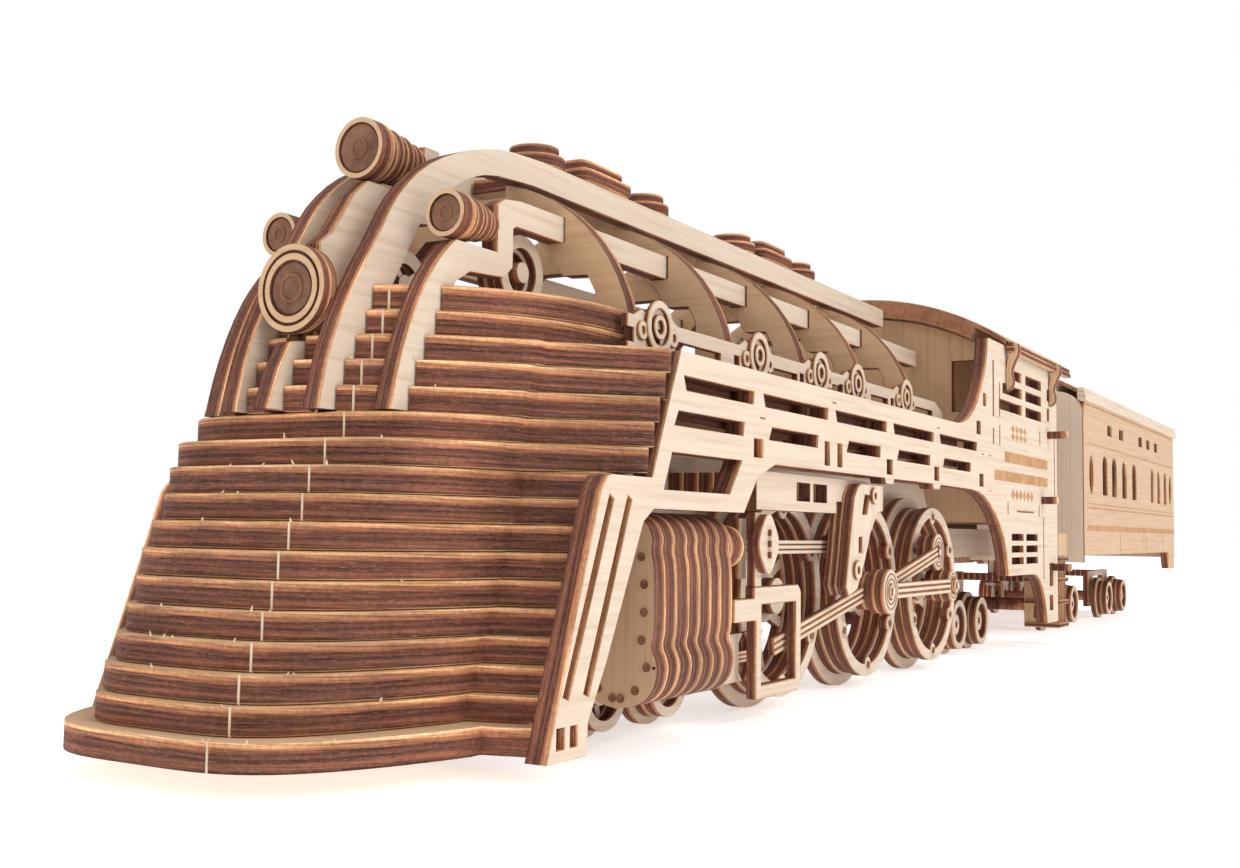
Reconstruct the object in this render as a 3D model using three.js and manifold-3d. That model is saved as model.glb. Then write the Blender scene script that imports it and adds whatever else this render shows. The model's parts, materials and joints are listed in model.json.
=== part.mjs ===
// Laser-cut plywood model of a streamlined steam locomotive with one passenger coach.
// The kit is drawn on a grid of one ply: every length below is in plies unless it says mm.
// Frame: +Z up, nose towards -Y, the locomotive's left side at +X, Z = 0 under the bumper layer.
import * as THREE from "three";
import Module from "manifold-3d";
import { mergeVertices } from "three/addons/utils/BufferGeometryUtils.js";

const wasm = await Module();
wasm.setup();

// ---- Driving dimensions -----------------------------------------------------------------------
const PLY = 4;                 // mm, thickness of one plywood sheet
const GAP = 0.09;              // between neighbouring pieces (about 0.35 mm)
const OVERLAP = 0.01;          // by which parts of one glued piece run into each other
const GROUND = -0.9;           // height of the surface under the wheels
const MID_Y = 66.291;          // middle of the train's length
const SHEET = 0.8;             // thickness of the thin sheets (ribs, bulkheads)
const SIDE_X = 11.35;          // outer face of the side panels
const PANEL_T = 0.9;           // thickness of a side panel
const DRIVER_Y = [27.1, 39.3, 51.5];
const DRIVER_Z = 4.7;
const FLANGE_R = 5.6;
const RING_R = 4.95;
const CRANK = 2.35;            // crank pin's distance from the axle
const SMALL_R = 2.2;           // truck and bogie wheels
const SMALL_Z = GROUND + SMALL_R;
const BULKHEAD_Y = [13.2, 22.5, 31.6, 40.5, 49.5];
const BULKHEAD_R = 8.3;
const BULKHEAD_Z = 15;
const RAIL_X = 2.07;           // inner ribs, which run back as the top rails
const BRACKET_X = 4.34;        // outer ribs, which carry the side lamps
const COACH_Y = [86.6, 137.4];
const PILOT_TRUCK_Y = [13.2, 18.8];
const PILOT_PIN_Y = (PILOT_TRUCK_Y[0] + PILOT_TRUCK_Y[1]) / 2;
const TRAILING_Y = 67;
const BOGIE_Y = [99, 125];
const BOGIE_HALF = 4.2;        // half the wheelbase of a coach bogie
const DRAWBAR_Y = 79.4;        // pin between the locomotive and the coach

// ---- Materials --------------------------------------------------------------------------------
const veneer = { color: 0xe8dac6, roughness: 0.72, metalness: 0 };
const burnt = { color: 0x7d4a33, roughness: 0.8, metalness: 0 };
const warm = { color: 0xc79a6b, roughness: 0.75, metalness: 0 };

// ---- Small kit of solid-making helpers --------------------------------------------------------
const asSolid = (geometry) => {
  const bare = geometry.clone();
  bare.deleteAttribute("normal");
  bare.deleteAttribute("uv");
  const merged = mergeVertices(bare, 1e-4);
  return new wasm.Manifold(new wasm.Mesh({
    numProp: 3,
    vertProperties: new Float32Array(merged.attributes.position.array),
    triVerts: new Uint32Array(merged.index.array),
  }));
};
const asGeometry = (solid) => {
  const mesh = solid.getMesh();
  const geometry = new THREE.BufferGeometry();
  geometry.setAttribute("position", new THREE.BufferAttribute(mesh.vertProperties.slice(), 3));
  geometry.setIndex(new THREE.BufferAttribute(mesh.triVerts.slice(), 1));
  return geometry;
};
const join = (...geometries) => asGeometry(geometries.map(asSolid).reduce((a, b) => a.add(b)));
const cut = (body, ...tools) => asGeometry(
  tools.map(asSolid).reduce((a, b) => a.subtract(b), asSolid(body)));

const train = new THREE.Group();
train.name = "plywood_train";
train.position.set(0, -MID_Y * PLY, -GROUND * PLY);

function piece(name, geometry, look) {
  const sized = geometry.clone().scale(PLY, PLY, PLY);
  sized.computeVertexNormals();
  const mesh = new THREE.Mesh(sized, new THREE.MeshStandardMaterial(look));
  mesh.name = name;
  train.add(mesh);
}

const shapeOf = (points) => new THREE.Shape(points.map(([x, y]) => new THREE.Vector2(x, y)));
const holeOf = (points) => new THREE.Path(points.map(([x, y]) => new THREE.Vector2(x, y)));
const rectHole = (x0, y0, x1, y1) => holeOf([[x0, y0], [x1, y0], [x1, y1], [x0, y1]]);
const arc = (cx, cy, rx, ry, from, to, steps) => Array.from({ length: steps + 1 }, (_, i) => {
  const a = THREE.MathUtils.degToRad(from + (to - from) * i / steps);
  return [cx + rx * Math.cos(a), cy + ry * Math.sin(a)];
});
const roundHole = (cx, cy, r, steps = 12) => holeOf(arc(cx, cy, r, r, 0, 360 - 360 / steps, steps - 1));
const smooth = (points, steps) => new THREE.CatmullRomCurve3(
  points.map(([x, y]) => new THREE.Vector3(x, y, 0)), false, "centripetal",
).getPoints(steps).map((p) => [p.x, p.y]);

const prism = (points, depth) => new THREE.ExtrudeGeometry(
  new THREE.Shape(points), { depth, bevelEnabled: false });
// The outline is extruded whole and its windows are then cut out of the solid.
function extrude(shape, depth) {
  const blank = prism(shape.getPoints(), depth);
  if (shape.holes.length === 0) return blank;
  return cut(blank, ...shape.holes.map((hole) => prism(hole.getPoints(), depth + 2).translate(0, 0, -1)));
}
const toYZ = new THREE.Matrix4().makeBasis(
  new THREE.Vector3(0, 1, 0), new THREE.Vector3(0, 0, 1), new THREE.Vector3(1, 0, 0));
const toXZ = new THREE.Matrix4().makeBasis(
  new THREE.Vector3(1, 0, 0), new THREE.Vector3(0, 0, 1), new THREE.Vector3(0, -1, 0));

// A sheet standing along the train, drawn in (Y, Z) and filling x0..x1 on the side given.
function sheetYZ(shape, x0, x1, side = 1) {
  const low = side > 0 ? x0 : -x1;
  return extrude(shape, x1 - x0).applyMatrix4(toYZ).translate(low, 0, 0);
}
// A sheet standing across the train, drawn in (X, Z) and filling y0..y1.
const sheetXZ = (shape, y0, y1) => extrude(shape, y1 - y0).applyMatrix4(toXZ).translate(0, y1, 0);
// A lying sheet, drawn in (X, Y) and filling z0..z1.
const sheetXY = (shape, z0, z1) => extrude(shape, z1 - z0).translate(0, 0, z0);

function box(x0, x1, y0, y1, z0, z1, side = 1) {
  const middle = side * (x0 + x1) / 2;
  return new THREE.BoxGeometry(x1 - x0, y1 - y0, z1 - z0)
    .translate(middle, (y0 + y1) / 2, (z0 + z1) / 2);
}
function rodX(y, z, r, x0, x1, side = 1, steps = 20) {
  return new THREE.CylinderGeometry(r, r, x1 - x0, steps)
    .rotateZ(Math.PI / 2).translate(side * (x0 + x1) / 2, y, z);
}
const rodY = (x, z, r, y0, y1, steps = 20) => new THREE.CylinderGeometry(r, r, y1 - y0, steps)
  .translate(x, (y0 + y1) / 2, z);
const rodZ = (x, y, r, z0, z1, steps = 20) => new THREE.CylinderGeometry(r, r, z1 - z0, steps)
  .rotateX(Math.PI / 2).translate(x, y, (z0 + z1) / 2);

const SIDES = [["left", 1], ["right", -1]];

// ---- Side panel outline, in (Y, Z) ------------------------------------------------------------
// How far back the panel's front edge stands at a height above the pilot plate.
const panelFront = (z) => 9.2 + (z - 10) * 0.43;
const UPPER_SLOTS = [[11.6, 18.2], [19.2, 26.9], [27.9, 35.5], [36.6, 43.9], [45.1, 53.2]];
const LOWER_SLOTS = [[11.2, 17.2], [20.2, 25.6], [29.8, 34.5], [37.6, 43.2], [46.1, 51.8]];
const ROWS = [
  { low: 13.45, high: 14.05, lean: 0.25, slots: UPPER_SLOTS },
  { low: 12.0, high: 12.62, lean: -0.35, slots: LOWER_SLOTS },
];
const LUG_Y = [18.75, 36.05, 44.55, 54.35];

// The pilot plate at the panel's front: its leading and trailing edges and its slanted slots.
const PILOT_LEAD = [[2.2, 0.05], [5.45, 9.3], [5.9, 9.8], [6.2, 9.88]];
const PILOT_TRAIL = [[8.5, 8.2], [5.95, 3.2], [4.75, 1.2], [4.7, 0.05]];
function cutPilotSlots(shape) {
  for (const y of [0, 1.3]) {
    shape.holes.push(holeOf([[3.1 + y, 2.2], [3.5 + y, 2.05], [6.35 + y, 9.0], [6.0 + y, 9.2]]));
  }
  shape.holes.push(rectHole(2.75, 0.45, 3.3, 1.2), rectHole(3.6, 0.45, 4.1, 1.2));
}

function panelShape() {
  const shape = shapeOf([
    ...PILOT_LEAD, [9.15, 9.88], [panelFront(15), 15],
    ...arc(48.8, 22.4, 7.4, 7.4, -90, -8, 10), [56.3, 21.4],
    [76.4, 21.4], [76.4, 1.15], [72.8, 1.15], ...arc(68.4, 1.15, 4.4, 3.9, 0, 90, 6).slice(1),
    [61.3, 5.05], ...arc(52, 4.6, 9.3, 6.3, 10, 90, 8),
    [45.3, 10.95], [45.1, 10.65], [44.0, 10.65], [43.8, 10.95],
    [36.8, 10.95], [36.6, 10.65], [35.5, 10.65], [35.3, 10.95],
    [20.6, 10.95], [18.7, 10.3], [17.3, 8.7], [9.3, 8.7], ...PILOT_TRAIL,
  ]);
  for (const { low, high, lean, slots } of ROWS) {
    for (const [y0, y1] of slots) {
      shape.holes.push(holeOf([[y0 + lean, low], [y1, low], [y1 + 0.1, high], [y0, high]]));
    }
  }
  for (const y of LUG_Y) shape.holes.push(rectHole(y - 0.5, 11.15, y + 0.5, 12.0));
  shape.holes.push(rectHole(26.5, 11.2, 27.2, 12.4), rectHole(28.2, 11.2, 28.9, 12.4));
  shape.holes.push(holeOf([[10.05, 9.45], [15.9, 9.45], [17.1, 10.95], [10.7, 10.95]]));
  cutPilotSlots(shape);
  // Three rows of cab windows, and a grille of three rows below them.
  for (let row = 0; row < 3; row += 1) {
    const top = 19.9 - 1.2 * row;
    shape.holes.push(rectHole(60.8 - row, top - 0.75, 65.2, top), rectHole(66.3, top - 0.75, 71.2, top));
    const low = 8.05 - 0.85 * row;
    shape.holes.push(rectHole(62.1, low - 0.5, 65.5, low), rectHole(66.3, low - 0.5, 69.8, low));
  }
  shape.holes.push(rectHole(57.2, 14.2, 57.55, 15.3), rectHole(57.2, 16.1, 57.55, 20));
  shape.holes.push(rectHole(54.8, 16.6, 55.6, 17.5), rectHole(53.2, 14.6, 54.2, 15.5));
  shape.holes.push(rectHole(73.1, 17.0, 73.9, 18.0), rectHole(73.1, 18.6, 73.9, 19.5));
  shape.holes.push(rectHole(73.6, 2.1, 74.8, 3.3), rectHole(73.6, 4.0, 74.8, 5.8));
  return shape;
}
for (const [name, side] of SIDES) {
  piece(`side_panel_${name}`, sheetYZ(panelShape(), SIDE_X - PANEL_T, SIDE_X, side), veneer);
}

// ---- Nose: seventeen stacked layers -----------------------------------------------------------
// Front of each layer at the seam, SEAM_X from the centre, from the bumper layer upwards.
const SEAM_X = 3.13;
const SEAM_Y = [
  -4.85, -3.95, -3.6, -3.1, -2.65, -2.25, -2, -1.55, -0.95, -0.65, 0.1, 1.05, 1.5, 1.9, 2.45, 2.95, 3.3,
];
// How fast a layer's front falls back from the centre: the lower layers are squarer, by a fourth
// power of x, and the ones between the ribs follow a parabola.
const SQUARE_LAYERS = 12;
function fall(n) {
  if (n === 1) return 0.00177;
  if (n <= 10) return 0.0031 - 0.00015 * (n - 2);
  return n <= SQUARE_LAYERS ? 0.0013 : 0.082 - 0.004 * (n - 13);
}
function frontY(n, x) {
  const power = n <= SQUARE_LAYERS ? 4 : 2;
  return SEAM_Y[n - 1] + fall(n) * (x ** power - SEAM_X ** power);
}
// Where a layer's rounded front ends, and how far the wing beside it is set back.
const stepX = (n) => (n === 1 ? 8.05 : 6.95 + 0.075 * (n - 2));
const WING_STEP = 0.6;
const WING_SLOPE = 0.3;
// The lower wings end behind the pilot plate, which slopes back.
function layerRear(n) {
  if (n > 12) return 12.4;
  return Math.min(9.2, 3.95 + 0.5 * n);
}

function layerFront(n) {
  if (n >= 16) {
    // The two top layers sweep right round to the ornamental strips.
    const nearest = SEAM_Y[n - 1] - 0.65;
    return arc(0, 11.3, 8.1, 11.3 - nearest, -90, 0, 9);
  }
  const steps = 8;
  return Array.from({ length: steps + 1 }, (_, i) => {
    const x = stepX(n) * i / steps;
    return [x, frontY(n, x)];
  });
}
function layerShape(n) {
  const front = layerFront(n);
  const [xs, ys] = front[front.length - 1];
  const rear = layerRear(n);
  const half = [...front];
  if (n <= 10) {
    const wide = SIDE_X - PANEL_T - GAP;
    half.push([xs, ys + WING_STEP], [wide, ys + WING_STEP + WING_SLOPE * (wide - xs)], [wide, rear]);
  } else if (n <= 15) {
    const edge = panelFront(n - 1) - 0.3;
    const inner = SIDE_X - PANEL_T - GAP;
    const tip = SIDE_X - 0.05;
    half.push([xs, ys + WING_STEP], [tip, edge - 0.2], [tip, edge], [inner, edge], [inner, rear]);
  } else {
    half.push([8.1, rear]);
  }
  if (n > 1) {
    const depth = SEAM_Y[n - 1] + 1.6 + 0.07 * (n - 2);
    half.push([4.9, rear], [4.9, depth + 3.2], [2.8, depth + 0.7], [0, depth]);
  } else {
    half.push([0, rear]);
  }
  const left = half.slice(1, -1).map(([x, y]) => [-x, y]).reverse();
  return shapeOf([...half, ...left]);
}
function stack(from, to) {
  const layers = [];
  for (let n = from; n <= to; n += 1) {
    const low = n === from ? n - 1 + GAP : n - 1;
    const high = n === to ? n : n + OVERLAP;
    layers.push(sheetXY(layerShape(n), low, high));
  }
  return join(...layers);
}
piece("bumper_layer", sheetXY(layerShape(1), 0, 1), burnt);
piece("nose_stack_lower", stack(2, 7), burnt);
piece("nose_stack_middle", stack(8, 12), burnt);

// ---- Ribs over the nose, which run back as rails ----------------------------------------------
const RAIL_TOP = 24.5;
const RAIL_LOW = 23.25;
const innerRib = (grow = 0) => shapeOf([
  [0.45 - grow, 12 + GAP - grow], ...smooth([[0.5 - grow, 12.4], [1.0 - grow, 14.4], [2.1 - grow, 16.8],
    [3.4 - grow, 18.9], [4.6 - grow, 20.8], [6.3, 22.35 + grow], [8.6, 23.5 + grow], [11.3, 24.25 + grow],
    [14.5, RAIL_TOP + grow]], 22),
  [60.1, RAIL_TOP + grow], [60.1, RAIL_LOW - grow], [15.6, RAIL_LOW - grow],
  ...smooth([[13.8, RAIL_LOW - grow], [10.4, 22.95 - grow], [8.9, 22.4 - grow], [7.6, 21.6 - grow],
    [6.0 + grow, 20.1], [4.9 + grow, 18.2], [3.6 + grow, 16], [2.5 + grow, 13.6], [2.05 + grow, 12.2]], 20),
  [2.0 + grow, 12 + GAP - grow],
]);
const BRACKET_TOP = 21.35;
const BRACKET_LOW = 20.25;
const outerRib = (grow = 0) => shapeOf([
  [1.7 - grow, 12 + GAP - grow], ...smooth([[1.8 - grow, 12.4], [2.1 - grow, 13.6], [2.7 - grow, 15.3],
    [3.5 - grow, 16.9], [4.3 - grow, 18], [4.9, 18.6 + grow], [5.3, 18.93 + grow]], 12),
  [8.0, 18.93], [8.0, 20.9], [8.5, 21.2], [9.6, BRACKET_TOP], [60.9, BRACKET_TOP],
  [60.9, BRACKET_LOW], [9.3, BRACKET_LOW], [9.05, 20.1], [9.05, 18.5],
  [8.5, 18.0], [6.2, 17.85 - grow], [5.3 + grow, 17.3], [4.7 + grow, 16.2],
  [4.0 + grow, 14.5], [3.55 + grow, 12 + GAP - grow],
]);
const centreRib = (grow = 0) => shapeOf([
  [0.0 - grow, 12 + GAP - grow], [0.5 - grow, 13.6], [1.1 - grow, 14.7], [2.45, 14.9], [2.45, 18.7],
  [3.1, 19.2], [4.3, 21.0], [5.1, 21.72], [8.6, 21.72], [8.6, 24], [9.6, 24], [9.6, 20.8],
  [7.3, 20.4], [5.6, 18.9], [4.6 + grow, 17.1], [3.3 + grow, 14.6], [2.3 + grow, 12.9],
  [2.0 + grow, 12 + GAP - grow],
]);
const rib = (shape, x, extra = 0) => sheetYZ(shape, x - SHEET / 2 - extra, x + SHEET / 2 + extra);
piece("rib_centre", rib(centreRib(), 0), veneer);
for (const [name, side] of SIDES) {
  piece(`rib_inner_${name}`, rib(innerRib(), side * RAIL_X), veneer);
  piece(`rib_outer_${name}`, rib(outerRib(), side * BRACKET_X), veneer);
}
const ribSlots = [rib(centreRib(GAP), 0, GAP)];
for (const [, side] of SIDES) {
  ribSlots.push(rib(innerRib(GAP), side * RAIL_X, GAP), rib(outerRib(GAP), side * BRACKET_X, GAP));
}
piece("nose_stack_upper", cut(stack(13, 17), ...ribSlots), burnt);

// ---- Lamps: plugs and rings of stacked discs --------------------------------------------------
function lamp(x, z, r, y0, discs, pitch) {
  const parts = [rodY(x, z, r * 0.84, y0, y0 + discs * pitch, 14)];
  for (let n = 0; n < discs; n += 1) {
    parts.push(rodY(x, z, r * (1 - 0.03 * n), y0 + n * pitch, y0 + (n + 0.7) * pitch, 14));
  }
  return join(...parts);
}
piece("headlight", lamp(0, 16.78, 1.68, 1.35, 2, 0.42), burnt);
piece("top_lamp", lamp(0, 23.06, 1.24, 4.89, 3, 1.17), burnt);
for (const [name, side] of SIDES) {
  piece(`side_lamp_${name}`, lamp(side * BRACKET_X, 19.97, 0.93, 5.02, 2, 1.43), burnt);
}

// ---- Boiler bulkheads -------------------------------------------------------------------------
const BOILER_FLOOR = 11.6;
function bulkheadShape() {
  const outline = shapeOf([
    ...arc(0, BULKHEAD_Z, BULKHEAD_R, BULKHEAD_R, 0, 180, 28),
    [-BULKHEAD_R, BOILER_FLOOR], [BULKHEAD_R, BOILER_FLOOR],
  ]);
  const half = [[6.4, 13], [6.4, 18], [6.0, 18.75], [4.75, 18.8], [4.2, 19.7], [2.8, 21.0]];
  outline.holes.push(holeOf([...half, ...half.map(([x, z]) => [-x, z]).reverse()]));
  return outline;
}
BULKHEAD_Y.forEach((y, i) => {
  const plate = sheetXZ(bulkheadShape(), y - SHEET / 2, y + SHEET / 2);
  const hatchNotch = box(-1.65, 1.65, y - 1, y + 1, 22.6, 25);
  piece(`bulkhead_${i + 1}`, cut(plate, ...ribSlots.slice(1), hatchNotch), warm);
});

// ---- Ornamental strips with their running-board shelves ---------------------------------------
const HUMP_Y = [14.0, 24.1, 32.0, 37.6, 46.2];
const STRIP_SLOTS = [[15.7, 20.2], [25.8, 29.2], [33.6, 35.1], [40.2, 43.2], [47.8, 52.0]];
const STRIP_X = 8.75;
function stripShape() {
  const top = [];
  for (const y of HUMP_Y) {
    top.push([y - 1.9, 16.75], [y - 1.3, 17.05], ...arc(y, 16.2, 1.0, 1.1, 140, 40, 4));
    top.push([y + 1.3, 17.05], [y + 1.9, 16.75]);
  }
  const shape = shapeOf([
    [11.6, 15.1], [54.2, 15.1], [54.2, 16.1], [52.6, 16.75], ...top.reverse(), [11.6, 16.75],
  ]);
  for (const y of HUMP_Y) {
    shape.holes.push(rectHole(y - 0.35, 15.75, y + 0.35, 16.4));
    shape.holes.push(rectHole(y - 2.5, 15.6, y - 1.9, 16.2));
  }
  for (const [y0, y1] of STRIP_SLOTS) shape.holes.push(rectHole(y0, 15.65, y1, 16.1));
  return shape;
}
for (const [name, side] of SIDES) {
  piece(`ornament_strip_${name}`, join(
    sheetYZ(stripShape(), STRIP_X - 0.35, STRIP_X, side),
    box(STRIP_X - 0.35, SIDE_X - PANEL_T - GAP, 12.6, 54.2, 14.35, 15.15, side),
  ), veneer);
}

// ---- Chassis ----------------------------------------------------------------------------------
const FRAME_X = 6.0;
const FRAME_T = 0.8;
function frameShape() {
  const shape = shapeOf([
    [9.5, 6.2], [23.5, 6.2], [23.5, 3.6], [55, 3.6], [55, 6.2], [77.6, 6.2], [77.6, 8.4], [60.4, 8.4],
    [58.4, 11.4], [9.5, 11.4],
  ]);
  for (const y of DRIVER_Y) shape.holes.push(roundHole(y, DRIVER_Z, 0.75, 10));
  return shape;
}
const LINK_PIN = [33.4, 10.1];
// The valve box hangs outside the frame, and the expansion link's pin turns in its arm.
function valveBox(side) {
  const frame = shapeOf([[20.2, 8.9], [30.0, 8.9], [30.0, 9.5], [34.4, 9.5], [34.4, 10.7], [20.2, 10.7]]);
  frame.holes.push(rectHole(24.8, 9.4, 26.5, 10.3), rectHole(26.9, 9.4, 28.7, 10.3));
  return join(
    cut(sheetYZ(frame, 9.8, 10.6, side), rodX(LINK_PIN[0], LINK_PIN[1], 0.38, 9, 11, side, 12)),
    box(8.9, 9.9, 21.2, 22.6, 8.9, 10.7, side),
  );
}
const chassisParts = [];
for (const [, side] of SIDES) {
  chassisParts.push(valveBox(side));
  chassisParts.push(sheetYZ(frameShape(), FRAME_X - FRAME_T, FRAME_X, side));
  // Carriers for the cylinders, the crosshead guides and the valve boxes.
  chassisParts.push(box(FRAME_X - 0.1, 7.4, 11.2, 12.2, 7.0, 8.2, side));
  chassisParts.push(box(FRAME_X - 0.1, 10.2, 20.3, 21.0, 9.6, 10.6, side));
  chassisParts.push(box(FRAME_X - 0.1, 9.9, 31.0, 31.8, 10.0, 10.6, side));
}
for (const y of [10.2, 20.0, 33.2, 45.4, 58]) {
  chassisParts.push(box(-FRAME_X + 0.1, FRAME_X - 0.1, y, y + 0.8, 7.2, 11.0));
}
for (const y of [66.4, 76.2]) chassisParts.push(box(-FRAME_X + 0.1, FRAME_X - 0.1, y, y + 0.9, 6.4, 8.2));
chassisParts.push(box(-1.6, 1.6, 77, DRAWBAR_Y + 0.9, 6.4, 7.1));
chassisParts.push(box(-0.8, 0.8, PILOT_PIN_Y - 0.6, 20.4, 7.2, 7.9));
// A headed pin that hangs down to carry a truck or the coach's drawbar.
const headedPin = (y, z0, z1) => join(rodZ(0, y, 0.45, z0, z1, 12), rodZ(0, y, 0.9, z0, z0 + 0.35, 12));
chassisParts.push(headedPin(DRAWBAR_Y, 5.0, 6.5));
chassisParts.push(headedPin(PILOT_PIN_Y, 2.4, 7.5), headedPin(TRAILING_Y, 2.4, 6.9));
piece("chassis_frame", join(...chassisParts), veneer);

// ---- Cylinders: seven stacked plates with a waist ---------------------------------------------
const CYL_Y = 9.75;
const CYL_PLATES = 7;
const CYL_PITCH = 0.98;
const CYL_X = 9.55;
const LOBE_R = 1.75;
const cylinderOutline = (grow) => shapeOf([
  ...arc(CYL_X, 2.75, LOBE_R + grow, LOBE_R + grow, 205, 335, 6), [11.12 + grow, 3.9], [11.1 + grow, 6.7],
  ...arc(CYL_X, 7.1, LOBE_R + grow, 1.5, 20, 60, 3), ...arc(CYL_X, 7.1, LOBE_R + grow, 1.5, 120, 160, 3),
  [7.98 - grow, 6.7], [7.96 - grow, 3.9],
]);
const mirrorShape = (shape, side) => (side > 0 ? shape
  : shapeOf(shape.getPoints().map((p) => [-p.x, p.y]).reverse()));
for (const [name, side] of SIDES) {
  const parts = [];
  for (let n = 0; n < CYL_PLATES; n += 1) {
    const low = CYL_Y + n * CYL_PITCH;
    const outline = mirrorShape(cylinderOutline(n % 2 ? -0.12 : 0), side);
    parts.push(sheetXZ(outline, low, low + CYL_PITCH + OVERLAP));
  }
  const rear = CYL_Y + CYL_PLATES * CYL_PITCH;
  parts.push(rodY(side * CYL_X, 2.55, 1.2, rear - 0.05, rear + 0.5, 14));
  parts.push(rodY(side * CYL_X, 7.2, 1.05, rear - 0.05, rear + 2.6, 14));
  // The piston rod and the valve rod each slide in a square bore from the rear.
  const pistonBore = box(8.93, 9.57, 11, 18, 1.78, 2.52, side);
  const valveBore = box(CYL_X - 0.45, CYL_X + 0.45, 16, 20, 6.75, 7.65, side);
  piece(`cylinder_${name}`, cut(join(...parts), pistonBore, valveBore), burnt);
}

// ---- Crosshead guides, crossheads and rods ----------------------------------------------------
const PIN_Y = [DRIVER_Y[1] - CRANK, DRIVER_Y[2] - CRANK];
const CROSSHEAD_Y = 22.6;
const CROSSHEAD_Z = 2.15;
const CROSSHEAD_X = [9.05, 9.45];
const PIN_BORE = 0.52;
function guideShape() {
  const shape = shapeOf([
    [18.1, 3.9], [20.4, 3.9], [20.4, 0.35], [25.2, 0.35], [25.5, 0.6], [25.5, 5.1], [25.2, 5.4],
    [20.2, 5.4], [20.2, 4.9], [18.1, 4.9],
  ]);
  shape.holes.push(rectHole(20.95, 0.95, 24.9, 4.6));
  return shape;
}
for (const [name, side] of SIDES) {
  piece(`crosshead_guide_${name}`, join(
    sheetYZ(guideShape(), 10.05, 10.55, side),
    box(10.1, 10.5, 20.3, 21.0, 5.2, 8.8, side),
  ), veneer);
  const slipper = shapeOf([
    [21.6, 1.05], [23.6, 1.05], [23.2, 1.5], [23.2, 2.8], [23.6, 3.25], [21.6, 3.25], [22.0, 2.8],
    [22.0, 1.5],
  ]);
  piece(`crosshead_${name}`, join(
    sheetYZ(slipper, CROSSHEAD_X[0], CROSSHEAD_X[1], side),
    box(CROSSHEAD_X[0], CROSSHEAD_X[1], 11.6, 22.2, 1.9, 2.4, side),
  ), veneer);

  // Main rod, from the crosshead to the crank pin of the middle driving wheels.
  const length = Math.hypot(PIN_Y[0] - CROSSHEAD_Y, DRIVER_Z - CROSSHEAD_Z);
  const slope = Math.atan2(DRIVER_Z - CROSSHEAD_Z, PIN_Y[0] - CROSSHEAD_Y);
  const bar = new THREE.BoxGeometry(0.35, length - 2.1, 0.8).rotateX(slope)
    .translate(side * 9.73, (PIN_Y[0] + CROSSHEAD_Y) / 2 + 0.4, (DRIVER_Z + CROSSHEAD_Z) / 2 + 0.07);
  const bigEnd = join(bar, rodX(PIN_Y[0], DRIVER_Z, 1.05, 9.2, 9.9, side, 18));
  piece(`main_rod_${name}`, cut(bigEnd, rodX(PIN_Y[0], DRIVER_Z, PIN_BORE, 9, 10.2, side, 14)), veneer);

  // Coupling rod, with a stacked boss on each pin and a second boss above the rear wheel.
  const upperBoss = [48.0, 6.8];
  const link = Math.hypot(upperBoss[0] - PIN_Y[0], upperBoss[1] - DRIVER_Z);
  const tilt = Math.atan2(upperBoss[1] - DRIVER_Z, upperBoss[0] - PIN_Y[0]);
  const couplingRod = join(
    rodX(PIN_Y[0], DRIVER_Z, 1.25, 10.05, 11.15, side, 18),
    rodX(PIN_Y[1], DRIVER_Z, 1.0, 9.3, 11.0, side, 18),
    box(10.5, 11.05, PIN_Y[0], PIN_Y[1], DRIVER_Z - 0.4, DRIVER_Z + 0.4, side),
    new THREE.BoxGeometry(0.5, link, 0.6).rotateX(tilt)
      .translate(side * 10.35, (PIN_Y[0] + upperBoss[0]) / 2, (DRIVER_Z + upperBoss[1]) / 2),
    rodX(upperBoss[0], upperBoss[1], 1.15, 9.35, 10.42, side, 18),
  );
  const pinBores = PIN_Y.map((y) => rodX(y, DRIVER_Z, PIN_BORE, 9, 12, side, 14));
  piece(`coupling_rod_${name}`, cut(couplingRod, ...pinBores), veneer);

  // Valve gear: the expansion link, and the rod between the valve chest and the link.
  const linkShape = shapeOf([
    [31.3, 10.3], [31.8, 10.5], [35.1, 10.5], [35.1, 9.1], [34.2, 9.0], [33.2, 8.0], [32.4, 6.6],
    [31.2, 5.0], [30.0, 4.7], [29.6, 5.2], [30.0, 6.6], [30.4, 8.4], [30.8, 9.8],
  ]);
  linkShape.holes.push(holeOf([[31.9, 8.9], [32.6, 8.9], [33.1, 9.9], [32.3, 9.95]]));
  linkShape.holes.push(rectHole(31.4, 6.9, 31.9, 7.7));
  piece(`expansion_link_${name}`, join(
    sheetYZ(linkShape, 10.75, 11.3, side),
    rodX(LINK_PIN[0], LINK_PIN[1], 0.28, 9.9, 10.9, side, 10),
  ), veneer);
  const chestCross = shapeOf([[20.3, 5.7], [20.9, 5.7], [20.9, 8.5], [20.3, 8.5]]);
  piece(`valve_rod_${name}`, join(
    sheetYZ(chestCross, 9.1, 9.75, side),
    box(9.2, 9.7, 17.2, 31.6, 6.85, 7.5, side),
    rodX(31.9, 7.17, 0.6, 9.15, 9.75, side, 12),
  ), veneer);
}

// ---- Wheels -----------------------------------------------------------------------------------
// One axle with two wheels, each an inner flange disc and an outer tread.
function wheelset(y, z, tread, flange, inner, outer, axle, steps) {
  const parts = [rodX(y, z, axle, -inner - 0.1, inner + 0.1, 1, 8)];
  for (const [, side] of SIDES) {
    parts.push(rodX(y, z, flange, inner, inner + 0.6, side, steps));
    parts.push(rodX(y, z, tread, inner + 0.5, outer, side, steps));
  }
  return join(...parts);
}
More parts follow.
